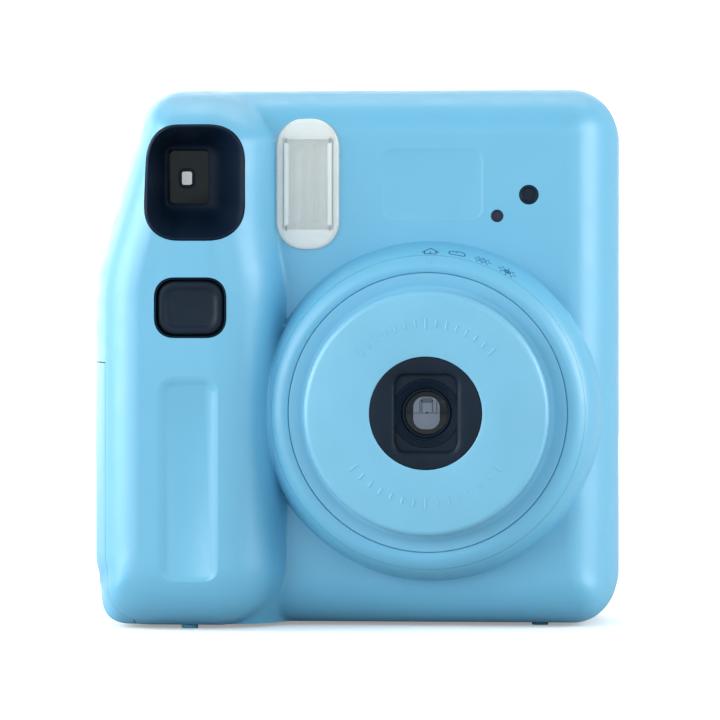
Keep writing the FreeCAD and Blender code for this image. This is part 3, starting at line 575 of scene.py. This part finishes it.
def front_shell():
    """Front cover as one closed skin of loops round the lens axis."""
    angles = full_turn(RAYS)
    across, up = np.sin(angles), np.cos(angles)
    outer_edge = reach(angles, 0)
    inner_edge = reach(angles, WALL)

    def loop(radius, height):
        depth = np.broadcast_to(FACE - height, RAYS)
        return np.stack([LENS[0] + radius * across, depth, LENS[2] + radius * up], 1)

    def on_face(radius, inset=0.0):
        return face_height(LENS[0] + radius * across, LENS[2] + radius * up, inset)

    def face_loop(radius):
        return loop(radius, soft_max(ring_height(radius), on_face(radius), RING_FILLET))

    rings = [loop(BORE, 4.0), loop(BORE, ring_height(BORE) - 0.02)]
    ring_end = math.radians(82)
    for lean in np.linspace(lean_at(BORE + 0.1), ring_end, 16):
        rings.append(face_loop(radius_at(lean)))
    start = radius_at(ring_end + math.radians(1))
    rows, crowding = 120, 1.55  # the rows lie closer together towards the outline
    for i in range(rows + 1):
        rings.append(face_loop(start + (outer_edge - start) * (1 - (1 - i / rows) ** crowding)))
    rim, foot, bevel = FACE - rings[-1][:, 1], FACE - PARTING + SEAM, 0.15
    for share in np.linspace(0, 1, 9)[1:]:
        rings.append(loop(outer_edge, rim + (foot + bevel - rim) * share))
    rings.append(loop(outer_edge - bevel, foot))
    rings.append(loop(inner_edge, foot))
    inner_start = BORE + 3.2
    for share in np.linspace(0, 1, 37):
        radius = inner_edge - np.maximum(inner_edge - inner_start, 0.3) * share ** 1.6
        rings.append(loop(radius, on_face(radius, WALL)))
    rings.append(loop(BORE + 2.4, -WALL))
    rings.append(loop(BORE, -WALL))
    return loops("front_cover_shell", rings, blue, closed=True, smooth=50)


def battery_door_region(play):
    """Room of the battery door: side, low corner and a strip of the base, within its swing."""
    low, high = node_box("battery_door")
    hinge_y = high[1]
    swing = high[1] - low[1] + play
    outside, inside, below = -HALF - 8, high[0] + play, -6.0
    outline = [(outside, hinge_y + play), (outside, hinge_y - swing)]
    for angle in np.linspace(0, math.pi / 2, 25):
        across = -HALF + swing * math.sin(angle)
        if across <= inside:
            outline.append((across, hinge_y - swing * math.cos(angle)))
    edge = math.asin((inside + HALF) / swing)
    outline += [(inside, hinge_y - swing * math.cos(edge)), (inside, hinge_y + play)]
    points = np.array(outline)
    rings = [np.stack([points[:, 0], points[:, 1], np.full(len(points), z)], 1)
             for z in (below, high[2] + play)]
    return loops("battery_region", rings, blue)


def build_front():
    shell = front_shell()
    door = add_object("battery_cover", shell.data.copy())
    combine(door, battery_door_region(0.0), "INTERSECT")
    past_face, past_grip, eye_start, eye_end = -8, -20, -24, -10

    def opening(name, place, size, back, power):
        return plate(name, (place[0], place[2]), *size, AHEAD, back, black, 0, power, FINE_STEPS)

    def drill(name, place, radius, segments):
        start, end = (place[0], eye_start, place[2]), (place[0], eye_end, place[2])
        return bar(name, start, end, radius, black, segments)

    finder = opening("finder_tool", FINDER, FINDER_OPENING, past_face, SQUARED)
    button = opening("button_tool", BUTTON, BUTTON_OPENING, past_grip, SQUARED)
    flash = opening("flash_tool", FLASH, FLASH_OPENING, past_face, FLASH_SQUARED)
    sensor = drill("sensor_tool", SENSOR, 2.15, 48)
    cell = drill("cell_tool", CELL, 1.38, 36)
    tools = join("front_tools", finder, button, flash, sensor, cell, battery_door_region(DOOR_GAP),
                 plaque_tool(), groove_tool())
    combine(shell, tools, smooth=42)
    show(shell, "camera_body", "front_cover", slot="blue_plastic")
    show(door, "battery_door", "battery_door", slot="blue_plastic")


def plaque_tool():
    """Shallow recess with sloping sides, right of the flash."""
    width, height, corner = PLAQUE_SIZE
    steps = ((1.6, 1.5, -0.6), (0.7, 0.6, -0.01), (0.4, 0.3, 0.08), (0, 0, 0.14))
    rings = [at_depth(rounded_rectangle(PLAQUE, width + 2 * out, height + 2 * out, corner + rounder, 8),
                      FACE + deep) for out, rounder, deep in steps]
    return loops("plaque_tool", rings, blue)


def groove_tool():
    """Finger groove of the grip: a crisp floor with long soft sides."""
    centre = (BUTTON[0] - 0.3, GROOVE_HEIGHT)
    width, height, corner = GROOVE_SIZE
    top = FACE - GRIP_RISE
    soft = 2.4
    sides = [(soft + 0.5, -1.0)]
    sides += [(soft * share, GROOVE_DEPTH * (1 - share) ** 2 - 0.012) for share in np.linspace(1, 0, 10)]
    rings = [at_depth(rounded_rectangle(centre, width + 2 * w, height + 2 * w, corner + w, 8), top + y)
             for w, y in sides]
    return loops("groove_tool", rings, blue)


# ---- lens

def build_dial():
    bore, step, back, lip = 30.2, 31.9, -22.1, -25.7
    profile = [(bore, back), (bore, FACE - ring_height(bore))]
    for lean in np.linspace(lean_at(bore + 0.3), lean_at(DIAL_EDGE - 0.1), 9):
        profile.append((radius_at(lean), FACE - RING_RISE * math.cos(lean)))
    profile += [(DIAL_EDGE, FACE - ring_height(DIAL_EDGE)), (DIAL_EDGE, lip), (step, lip), (step, back)]
    dial = lathe("dial_ring", profile, blue, [0, 0.2] + [0] * 9 + [0.02, 0, 0, 0], segments=256)
    tick = ring_mark("dial_tick", [((0.0, -0.75), (0.0, 0.75))], 0.9, 32.9, 0.34, blue_lens, 0.12)
    show(join("dial", dial, tick), "exposure_dial", "exposure_dial", slot="blue_plastic")


def build_barrel():
    """Barrel and the disk with raised marks on its front."""
    front, rear = node_box("lens_front_plate")[0][1], node_box("lens_barrel")[1][1]
    hole, inner, flange, seat, lip, wall = 9.4, 28.3, 31.5, -26.6, -26.4, -24.4
    tube = [(hole, seat), (25.4, seat), (27.4, lip), (30.14, -26.9), (30.14, -22), (30.0, rear - 2),
            (flange, rear - 2), (flange, rear), (inner, rear), (inner, wall), (hole, wall)]
    barrel = lathe("barrel", tube, blue_lens, [0.1, 0, 1.5, 0.25] + [0] * 7, segments=256)
    show(barrel, "lens_barrel", "lens_barrel", slot="blue_plastic")
    middle, outer, skirt = 12.15, 26.3, 24.4
    face = [(middle, front + 0.22), (13.2, front + 0.12), (outer, front + 0.16), (outer, lip), (skirt, lip),
            (skirt, front + 2), (middle, front + 2)]
    disk = lathe("disk", face, blue_lens, [0.1, 0, 1.2, 0, 0, 0.5, 0], segments=256)
    show(join("lens_disk", disk, disk_marks(front)), "lens_barrel", "lens_front_plate",
         slot="blue_plastic")


def build_bezel():
    """Black hub with a square-shouldered well, stepped baffles and the collar of the front glass."""
    front = node_box("lens_front_plate")[0][1]
    centre = (LENS[0], LENS[2])
    edge, face, back = 12.1, -29.5, front + 0.3
    hub = lathe("hub", [(0.0, face), (edge, face), (edge, back), (0.0, back)], button_black, [0, 0, 0.25, 0])
    profile = [(1.9, -0.8), (1.3, 0.27)]
    profile += [(1.25 * (1 - math.sin(a)), 0.3 + 1.1 * (1 - math.cos(a)))
                for a in np.linspace(0, math.pi / 2, 7)[1:]]
    width, height, corner = 13.3, 16.5, 2.6
    rings = [at_depth(rounded_rectangle(centre, width + 2 * w, height + 2 * w, corner + w, power=SQUARED),
                      front + y) for w, y in profile + [(-0.1, 1.9)]]
    combine(hub, loops("well", rings, button_black))
    narrow, wide, step, end = 6.4, 7.4, front + 1.3, -20
    bore = lathe("bore", [(0, AHEAD), (narrow, AHEAD), (narrow, step), (wide, step), (wide, end), (0, end)],
                 button_black)
    show(combine(hub, bore), "lens_barrel", "lens_bezel", slot="black_plastic")
    back = -28.6
    steps = [(7.3, back), (7.3, front + 2.0)]
    for i in range(5):
        radius, depth = 7.2 - 0.44 * i, front + 2.05 + 0.45 * i
        steps += [(radius - 0.34, depth), (radius - 0.44, depth + 0.4)]
    ring = lathe("baffle", steps + [(4.7, -29.7), (4.7, back)], black, 0.04, segments=128)
    collar = lathe("collar", [(5.1, -29.9), (5.1, -30.78), (4.88, -30.8), (4.68, -30.3), (4.65, -29.4)],
                   button_black, 0.04, segments=128)
    show(join("baffle_rings", ring, collar), "lens_barrel", "lens_retaining_ring", slot="black_plastic")


def build_front_glass():
    flat, tip, curve, edge = -28.7, -30.15, 70, 4.6
    dome = [(0.0, flat), (0.0, tip)]
    dome += [(r, tip + r * r / curve) for r in np.linspace(0.4, edge, 11)]
    front_glass = lathe("front_element", dome + [(edge, flat)], glass_black, segments=96)
    show(front_glass, "lens_barrel", "front_lens", slot="lens_glass")


def paint_lens_reflection():
    """Painted reflection on the front of the lens glass: a pale grey window shape with dark strips, a bar and
    a dot, standing in for a lit window mirrored in the lens.
    """
    level = -30.32

    def detail(name, across, up, width, height, corner, lift, material):
        centre = (LENS[0] + across, LENS[2] + up)
        return plate(name, centre, width, height, corner, level - lift, level + 0.1, material, 0.01)

    # painted reflection: these plates lie on the front of the lens glass
    window = plate("window", (LENS[0], LENS[2]), 5.7, 7.0, 2.3, level, level + 0.2, painted_reflection_grey, 0.03)
    seam = detail("seam", 0, 0, 5.5, 0.12, 0.05, 0.015, black)
    bridge = detail("bridge", 0.1, 2.75, 2.5, 1.1, 0.4, 0.02, painted_reflection_shade)
    legs = [detail(f"leg_{x}", 0.1 + x, 1.5, 0.28, 2.7, 0.1, 0.02, painted_reflection_shade)
            for x in (-1.5, -1.1, 1.2, 2.1)]
    pin = detail("pin", 0.1, 0.1, 0.42, 0.42, 0.2, 0.03, black)
    show(join("painted_lens_reflection", window, seam, bridge, *legs, pin), "lens_barrel")


def ring_mark(name, strokes, angle, radius, width, material, rise=0.03, stretch=(1, 1)):
    """Strokes drawn on the ring: each runs between points given as along and out, in millimetres."""
    verts, faces = [], []
    for stroke in strokes:
        points = np.array(stroke, float) * stretch
        for a, b in zip(points[:-1], points[1:]):
            pieces = max(1, int(np.linalg.norm(b - a) / 0.3))
            side = np.array([-(b - a)[1], (b - a)[0]]) / np.linalg.norm(b - a) * width / 2
            for j in range(pieces):
                first = len(verts)
                for share in (j / pieces, (j + 1) / pieces):
                    for way in (-1, 1):
                        for lift in (rise, -0.15):
                            verts.append(on_ring(a + (b - a) * share + side * way, angle, radius, lift))
                f = first
                faces += [(f, f + 2, f + 6, f + 4), (f + 1, f + 3, f + 7, f + 5), (f, f + 4, f + 5, f + 1),
                          (f + 2, f + 3, f + 7, f + 6), (f, f + 1, f + 3, f + 2),
                          (f + 4, f + 6, f + 7, f + 5)]
    return make(name, verts, faces, material)


def on_ring(point, angle, radius, lift):
    """Place on the ring's rounded flank: point is along the ring and up the flank."""
    lean = lean_at(radius)
    span = math.hypot(RING_WIDTH * math.cos(lean), RING_RISE * math.sin(lean))
    lean += point[1] / span
    out, height = radius_at(lean), RING_RISE * math.cos(lean)
    normal = np.array([RING_RISE * math.sin(lean), RING_WIDTH * math.cos(lean)])
    normal /= np.linalg.norm(normal)
    out, height = out + normal[0] * lift, height + normal[1] * lift
    turn = math.radians(angle) + point[0] / radius
    return (LENS[0] + out * math.sin(turn), FACE - height, LENS[2] + out * math.cos(turn))


def circle(radius, start=0, end=360, steps=12, centre=(0, 0)):
    return [(centre[0] + radius * math.cos(math.radians(a)), centre[1] + radius * math.sin(math.radians(a)))
            for a in np.linspace(start, end, steps + 1)]


def rays(count, near, far):
    """Short strokes pointing away from the middle."""
    strokes = []
    for i in range(count):
        turn = 2 * math.pi * i / count
        along, up = math.cos(turn), math.sin(turn)
        strokes.append([(near * along, near * up), (far * along, far * up)])
    return strokes


def icons():
    """Exposure marks round the ring: indoors, cloudy, fine and bright sun."""
    roof, door = [(1.15, -0.45), (0, 1.1), (-1.15, -0.45)], [(0, -0.9), (0, -0.25)]
    house = [roof, [(-0.8, 0.1), (-0.8, -1.0), (0.8, -1.0), (0.8, 0.1)], door]
    cloud = [circle(0.55, 20, 200, 8, (-0.55, 0.05)), circle(0.75, -10, 150, 8, (0.35, 0.1)),
             [(-1.1, -0.1), (-0.9, -0.55), (1.0, -0.55), (1.15, -0.1)]]
    sun = [circle(0.45), *rays(8, 0.75, 1.15)]
    bright = [circle(0.5), circle(0.25), *rays(8, 0.8, 1.35)]
    radius, line_width = 34.85, 0.24
    marks = [ring_mark(f"mark_{i}", strokes, angle, radius, line_width, ink, stretch=(1.6, 1.2))
             for i, (strokes, angle) in enumerate(((house, 0.8), (cloud, 10.3), (sun, 19.8), (bright, 29.3)))]
    show(join("exposure_marks", *marks), "camera_body")


def disk_marks(front):
    """Raised scale of short bars round the lens disk."""
    bars = []
    radius, half_width = 19.3, 0.26
    corners = ((-1, -1), (1, -1), (1, 1), (-1, 1))
    for i, (start, end) in enumerate(((-47, 47), (127, 233))):
        angles = np.linspace(start, end, 15)
        for j, angle in enumerate(angles):
            turn = math.radians(angle)
            long = 1.2 if j % 7 == 0 else 0.8
            direction = np.array([math.sin(turn), 0, math.cos(turn)])
            side = np.array([math.cos(turn), 0, -math.sin(turn)])
            middle = np.array([LENS[0], front + 0.13, LENS[2]]) + direction * radius
            rings = []
            for lift, length, width in ((0.2, 1.0, 1.0), (-0.06, 1.0, 1.0), (-0.12, 0.95, 0.6)):
                rings.append([middle + direction * (u * long * length) + side * v * half_width * width
                              + np.array([0, lift, 0]) for u, v in corners])
            bars.append(loops(f"bar_{i}_{j}", rings, blue_lens))
    return join("disk_scale", *bars)


# ---- viewfinder, flash and button

def build_finder():
    """Black funnel and front window, with the bright view through the eyepiece painted on the window: a white
    patch in a dark frame.
    """
    eye = centre_of("viewfinder_objective")
    centre, sight = np.array((FINDER[0], FINDER[2])), np.array((eye[0], eye[2]))
    mouth_size, throat_size = np.array((20.3, 23.8, 7.3)), np.array((9.4, 12.3, 1.6))
    back, depth = -18.0, -19.6

    def rim(width, height, corner, proud):
        outline = squared(centre, width, height, corner)
        return at_depth(outline, FACE - face_height(outline[:, 0], outline[:, 1]) - proud)

    rings = [at_depth(squared(centre, 21.5, 25.0, 7.9), back)]
    rims = ((21.5, 25.0, 7.9, -0.25), (21.35, 24.85, 7.85, 0.02), (21.0, 24.5, 7.65, 0.14),
            (20.6, 24.1, 7.45, 0.1), (*mouth_size, -0.1))
    rings += [rim(*numbers) for numbers in rims]
    mouth = rings[-1]
    for share in np.linspace(0, 1, 15)[1:]:
        middle = centre + (sight - centre) * share
        fall = math.sin(share * math.pi / 2) ** 1.15
        outline = squared(middle, *(mouth_size + (throat_size - mouth_size) * share))
        rings.append(at_depth(outline, mouth[:, 1] + (depth - mouth[:, 1]) * fall))
    throat = squared(sight, 9.0, 11.9, 1.3)
    rings.append(at_depth(throat, depth + 0.15))
    rings.append(at_depth(throat, back))
    show(loops("finder_hood", rings, black, closed=True, smooth=50), "camera_body", "viewfinder_hood",
         slot="black_plastic")
    window = plate("finder_window", sight, 10.4, 13.3, 1.6, -17.9, -16.3, glass_black, 0.2)
    show(window, "camera_body", "viewfinder_objective", slot="lens_glass")
    # painted light and shade on the finder window: a white patch for the bright view through the eyepiece, in
    # a black frame for the dark inside of the finder
    image = sight + (-0.4, -0.3)
    mask = plate("painted_finder_shade", image, 3.7, 4.5, 1.4, -17.98, -17.85, black, 0.05)
    glow = plate("painted_finder_light", image, 2.2, 2.9, 0.45, -18.06, -17.95, painted_light_white, 0.03)
    show(join("sight_image", mask, glow), "camera_body")


def build_flash():
    """Clear ribbed window over a pale trough with the flash tube."""
    x, z = FLASH[0], FLASH[2]
    centre = (x, z)
    front = node_box("flash_window")[0][1]
    cover_back, strip_front, frame_back, trough_back, tube_depth = -15.3, -15.5, -14.2, -4.5, -10.4
    cover = plate("flash_cover", centre, *FLASH_SIZE, front, cover_back, clear_plastic, 0.9, FLASH_SQUARED,
                  FINE_STEPS)
    show(cover, "camera_body", "flash_window", slot="clear_plastic")
    pieces = []
    for end, count in ((1, 6), (-1, 5)):
        for i in range(count):
            level = z + end * (10.65 + i * 0.52)
            half = 5.5 - 0.09 * i - 0.075 * i * i
            pieces.append(bar(f"rib_{end}_{i}", (x - half, cover_back, level), (x + half, cover_back, level),
                              0.17, bright_white, 10))
    for i in range(9):
        across = x - 3.6 + i * 0.9
        pieces.append(bar(f"line_{i}", (across, -14.75, z - 9.0), (across, -14.75, z + 1.2), 0.1, frosted, 8))

    def strip(name, middle, half, back, low, high, material, edge):
        return brick(name, (x + middle - half, strip_front, z + low), (x + middle + half, back, z + high),
                     material, edge)

    for side in (-1, 1):
        pieces.append(strip(f"strip_{side}", side * 4.75, 0.45, -15.0, -8.9, 9.0, bright_white, 0.08))
        pieces.append(strip(f"edge_{side}", side * 5.42, 0.07, -15.1, -9.8, 10.0, smoke, 0.02))
        for end in (-1, 1):
            pieces.append(strip(f"corner_{side}_{end}", side * 4.8, 0.22, -15.2, end * 9.6 - 0.5,
                                end * 9.6 + 0.5, smoke, 0.05))
            pieces.append(arc(f"arc_{side}_{end}", (x + side * 1.75, z + end * 8.3), end))
    frame_plate = plate("flash_frame", centre, *FLASH_SIZE, cover_back + 0.05, frame_back, pale_grey, 0.3,
                        FLASH_SQUARED, FINE_STEPS)
    combine(frame_plate, plate("mouth", centre, 10.4, 19.8, 0.6, -16, -13, pale_grey, 0.0))
    show(join("flash_prisms", *pieces, frame_plate), "camera_body")
    trough = []
    for level in (z - 10.0, z + 10.0):
        curve = [(-5.9, frame_back), (-5.9, trough_back), (5.9, trough_back), (5.9, frame_back),
                 (5.2, frame_back)]
        curve += [(5.2 * math.cos(a), -12.0 + 3.6 * math.sin(a)) for a in np.linspace(0, math.pi, 19)]
        curve += [(-5.2, frame_back)]
        trough.append([(x + across, y, level) for across, y in curve])
    reflector = loops("reflector", trough, mirror, smooth=50)
    ends = [brick(f"end_{end}", (x - 5.9, frame_back, z + end * 10.5 - 0.5),
                  (x + 5.9, trough_back, z + end * 10.5 + 0.5), pale_grey, 0.1) for end in (-1, 1)]
    show(join("flash_trough", reflector, *ends), "camera_body", "flash_reflector")
    tube = bar("tube", (x, tube_depth, z - 9.6), (x, tube_depth, z + 9.6), 1.2, frosted, 32)
    caps = [bar(f"cap_{end}", (x, tube_depth, z + end * 9.4 - 0.5), (x, tube_depth, z + end * 9.4 + 0.5),
                1.35, steel, 32) for end in (-1, 1)]
    show(join("xenon_tube", tube, *caps), "camera_body", "flash_tube")


def arc(name, centre, end):
    """Short dark curved moulding mark behind the flash window."""
    rings = []
    section = ((-0.1, -0.1), (0.1, -0.1), (0.1, 0.1), (-0.1, 0.1))
    for share in np.linspace(-1, 1, 9):
        across, up = centre[0] + 0.62 * share, centre[1] - end * 0.28 * share ** 2
        rings.append([(across, -14.9 + dy, up + dz) for dy, dz in section])
    return loops(name, rings, smoke)


def build_button():
    """Shutter button with a shallow panel, in a thin black rim."""
    centre = (BUTTON[0], BUTTON[2])
    face = node_box("shutter_button")[0][1]
    width, height, corner = 14.5, 11.9, 4.2
    rings = [at_depth(squared(centre, width, height, corner), -27.4)]
    for inset, depth in ((0.0, 0.9), (0.12, 0.45), (0.4, 0.15), (0.8, 0.0), (1.35, 0.0), (1.7, 0.12),
                         (1.95, 0.34), (2.2, 0.46), (2.6, 0.5)):
        outline = squared(centre, width - 2 * inset, height - 2 * inset, corner - inset * 0.9)
        rings.append(at_depth(outline, face + depth))
    cap = loops("cap", rings, button_black, smooth=50)
    stem = bar("stem", (BUTTON[0], -27.5, BUTTON[2]), (BUTTON[0], -24.2, BUTTON[2]), 2, button_black)
    show(join("release_button", cap, stem), "shutter_button", "shutter_button", slot="black_plastic")
    rim = plate("rim", centre, 15.5, 12.9, 4.5, FACE - GRIP_RISE + 0.12, -27.2, black, 0.25, SQUARED,
                CORNER_STEPS)
    hole = plate("rim_tool", centre, 14.9, 12.3, 4.3, AHEAD, -20, black, 0, SQUARED, CORNER_STEPS)
    show(combine(rim, hole), "camera_body", "button_bezel", slot="black_plastic")


def build_spring():
    """Return spring behind the shutter button, a coil of wire."""
    low, high = node_box("button_spring")
    wire, turns, steps = 0.3, 5, 28
    coil = (high[0] - low[0]) / 2 - wire
    sections = []
    for i in range(turns * steps + 1):
        turn = 2 * math.pi * i / steps
        depth = low[1] + wire + (high[1] - low[1] - 2 * wire) * i / (turns * steps)
        ring = []
        for side in full_turn(8):
            out = coil + wire * math.cos(side)
            ring.append((BUTTON[0] + out * math.cos(turn), depth + wire * math.sin(side),
                         BUTTON[2] + out * math.sin(turn)))
        sections.append(ring)
    spring = loops("return_spring", sections, steel, smooth=60)
    show(spring, "camera_body", "button_spring")
    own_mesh(spring)


def build_holder():
    """Battery holder with its low front corner cut off to clear the rounded case."""
    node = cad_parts["battery_holder"]
    places = [tuple(node.matrix_world @ vertex.co / MM) for vertex in node.data.vertices]
    faces = [tuple(face.vertices) for face in node.data.polygons]
    holder = make("battery_tray", places, faces, inner_black)
    margin, right, back, up = 0.5, 7, 15, 9
    x, y, z = node_box("battery_holder")[0] - margin
    corner = [(x, y, z), (x + right, y, z), (x, y + back, z), (x, y, z + up)]
    tool = make("holder_corner", corner, [(0, 1, 3), (0, 3, 2), (0, 2, 1), (1, 2, 3)], inner_black)
    show(combine(holder, tool), "camera_body", "battery_holder")


def build_sensors():
    for name, node, spot, radius in (("exposure_eye", "exposure_sensor_window", SENSOR, 2.0),
                                     ("flash_eye", "flash_sensor_window", CELL, 1.25)):
        front, back = FACE - 0.02, -11.5
        dark = name == "exposure_eye"
        profile = [(0.0, back), (0.0, front + 0.35)]
        profile += [(r * radius, front + 0.35 - 0.05 * (1 - r * r)) for r in (0.3, 0.55, 0.7)]
        profile += [(radius * 0.78, front + 0.1), (radius * 0.86, front - 0.05), (radius, front),
                    (radius, back)]
        eye = lathe(name, profile, button_black if dark else cell_glass, 0.0, spot, 48)
        show(eye, "camera_body", node)


# ---- CAD nodes with better materials

PAINT = (
    (blue, "rear_cover", "film_door"),
    (rubber, "feet"),
    (black, "door_latch", "pressure_pads", "eyepiece_frame", "film_pack", "eject_slot_frame"),
    (clear_plastic, "film_window", "counter_window"),
    (gear_white, "counter_disc", "motor_pinion", "idler_gear", "roller_drive_gear", "front_roller_gear",
     "rear_roller_gear", "film_claw"),
    (steel, "door_hinge_pin", "strap_bar", "case_screws", "battery_contacts", "drive_motor",
     "front_roller", "rear_roller", "roller_frame"),
    (cell_sleeve, "battery_cells"),
    (inner_black, "lens_guide", "lens_housing", "shutter_plate", "viewfinder_tunnel", "shutter_switch",
     "film_chamber", "dark_box"),
    (blackened, "aperture_plate", "shutter_blade"),
    (lens_glass, "rear_lens", "eyepiece_lens"),
    (sleeve, "flash_capacitor"),
    (board_green, "main_board", "sensor_board", "switch_board"),
)


def paint_nodes():
    for material, *nodes in PAINT:
        for node in nodes:
            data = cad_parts[node].data
            data.materials.clear()
            data.materials.append(material)


# ---- studio

def light(name, place, target, size_x, size_y, power):
    data = bpy.data.lights.new(name, "AREA")
    data.shape = "RECTANGLE"
    data.size, data.size_y = size_x, size_y
    data.energy = power
    obj = add_object(name, data)
    obj.location = place
    obj.rotation_euler = (Vector(target) - Vector(place)).to_track_quat("-Z", "Y").to_euler()
    obj.visible_camera = False


def seen_apart(tree, other, seen, end):
    """Show the lens one shader while every other ray meets the other one."""
    path = tree.nodes.new("ShaderNodeLightPath")
    mix = tree.nodes.new("ShaderNodeMixShader")
    tree.links.new(path.outputs["Is Camera Ray"], mix.inputs["Fac"])
    tree.links.new(other, mix.inputs[1])
    tree.links.new(seen, mix.inputs[2])
    tree.links.new(mix.outputs["Shader"], tree.nodes[end].inputs["Surface"])


def floor_paper():
    """White paper: bright to the lens, duller where it only lights the object from below."""
    paper = surface("floor_paper", (0.93, 0.93, 0.93), 0.8, shift=0.004, grain=0.5, depth=0.002, specular=0.1)
    tree = paper.node_tree
    bright = tree.nodes["Principled BSDF"]
    set_inputs(bright, {"Emission Color": (1, 1, 1, 1), "Emission Strength": 0.3})
    dull = tree.nodes.new("ShaderNodeBsdfDiffuse")
    dull.inputs["Color"].default_value = (0.55, 0.55, 0.55, 1)
    seen_apart(tree, dull.outputs["BSDF"], bright.outputs["BSDF"], "Material Output")
    return paper


def surroundings():
    """Pale blue fill light from all round; to the lens it is as pale as the far floor."""
    world = bpy.data.worlds.new("studio")
    world.use_nodes = True
    tree = world.node_tree
    fill = tree.nodes["Background"]
    set_inputs(fill, {"Color": (0.76, 0.95, 1, 1), "Strength": 0.5})
    pale = tree.nodes.new("ShaderNodeBackground")
    pale.inputs["Color"].default_value = (0.72, 0.76, 0.76, 1)
    seen_apart(tree, fill.outputs["Background"], pale.outputs["Background"], "World Output")
    return world


def studio():
    mesh = bpy.data.meshes.new("floor")
    reach_out, flat_end, rise, bend = 3.0, 0.9, 2.2, 0.5
    line = [(-reach_out, 0.0), (flat_end, 0.0)]
    line += [(flat_end + bend * math.sin(a), bend * (1 - math.cos(a)))
             for a in np.linspace(0, math.pi / 2, 12)[1:]]
    line += [(flat_end + bend, rise)]
    verts = [(x, y, z) for x in (-reach_out, reach_out) for y, z in line]
    count = len(line)
    mesh.from_pydata(verts, [], [(i, i + 1, count + i + 1, count + i) for i in range(count - 1)])
    mesh.shade_smooth()
    mesh.materials.append(floor_paper())
    add_object("floor", mesh)
    scene.world = surroundings()
    middle = (0, 0, 0.06)
    light("left_box", (-0.68, -0.12, 0.18), middle, 0.6, 0.7, 6.0)
    light("right_box", (0.72, -0.10, 0.18), middle, 0.6, 0.7, 5.3)
    light("top_box", (0.0, -0.20, 0.90), middle, 1.2, 0.8, 0.3)
    light("front_left_box", (-0.66, -0.90, 0.32), middle, 0.6, 0.6, 4.0)
    light("front_right_box", (0.45, -1.05, 0.42), middle, 0.6, 0.5, 1.8)
    light("rear_box", (-0.30, 0.85, 0.22), middle, 1.0, 0.4, 4.0)
    light("backdrop_box", (0.0, 0.9, 1.4), (0.0, 1.7, 0.3), 1.6, 0.5, 14.0)
    scene.view_settings.view_transform = "Standard"


def camera():
    target = Vector((0.9, 0, 58.4)) * MM
    azimuth, elevation, distance = math.radians(4.5), math.radians(0.7), 0.93
    back = Vector((math.sin(azimuth) * math.cos(elevation), -math.cos(azimuth) * math.cos(elevation),
                   math.sin(elevation)))
    data = bpy.data.cameras.new("camera")
    data.lens = 209.3
    data.clip_start = 0.05
    obj = add_object("camera", data)
    obj.location = target + back * distance
    obj.rotation_euler = (-back).to_track_quat("-Z", "Y").to_euler()
    scene.camera = obj


build_front()
build_dial()
build_barrel()
build_bezel()
build_front_glass()
paint_lens_reflection()
icons()
build_finder()
build_flash()
build_button()
build_sensors()
build_spring()
build_holder()
paint_nodes()
studio()
camera()
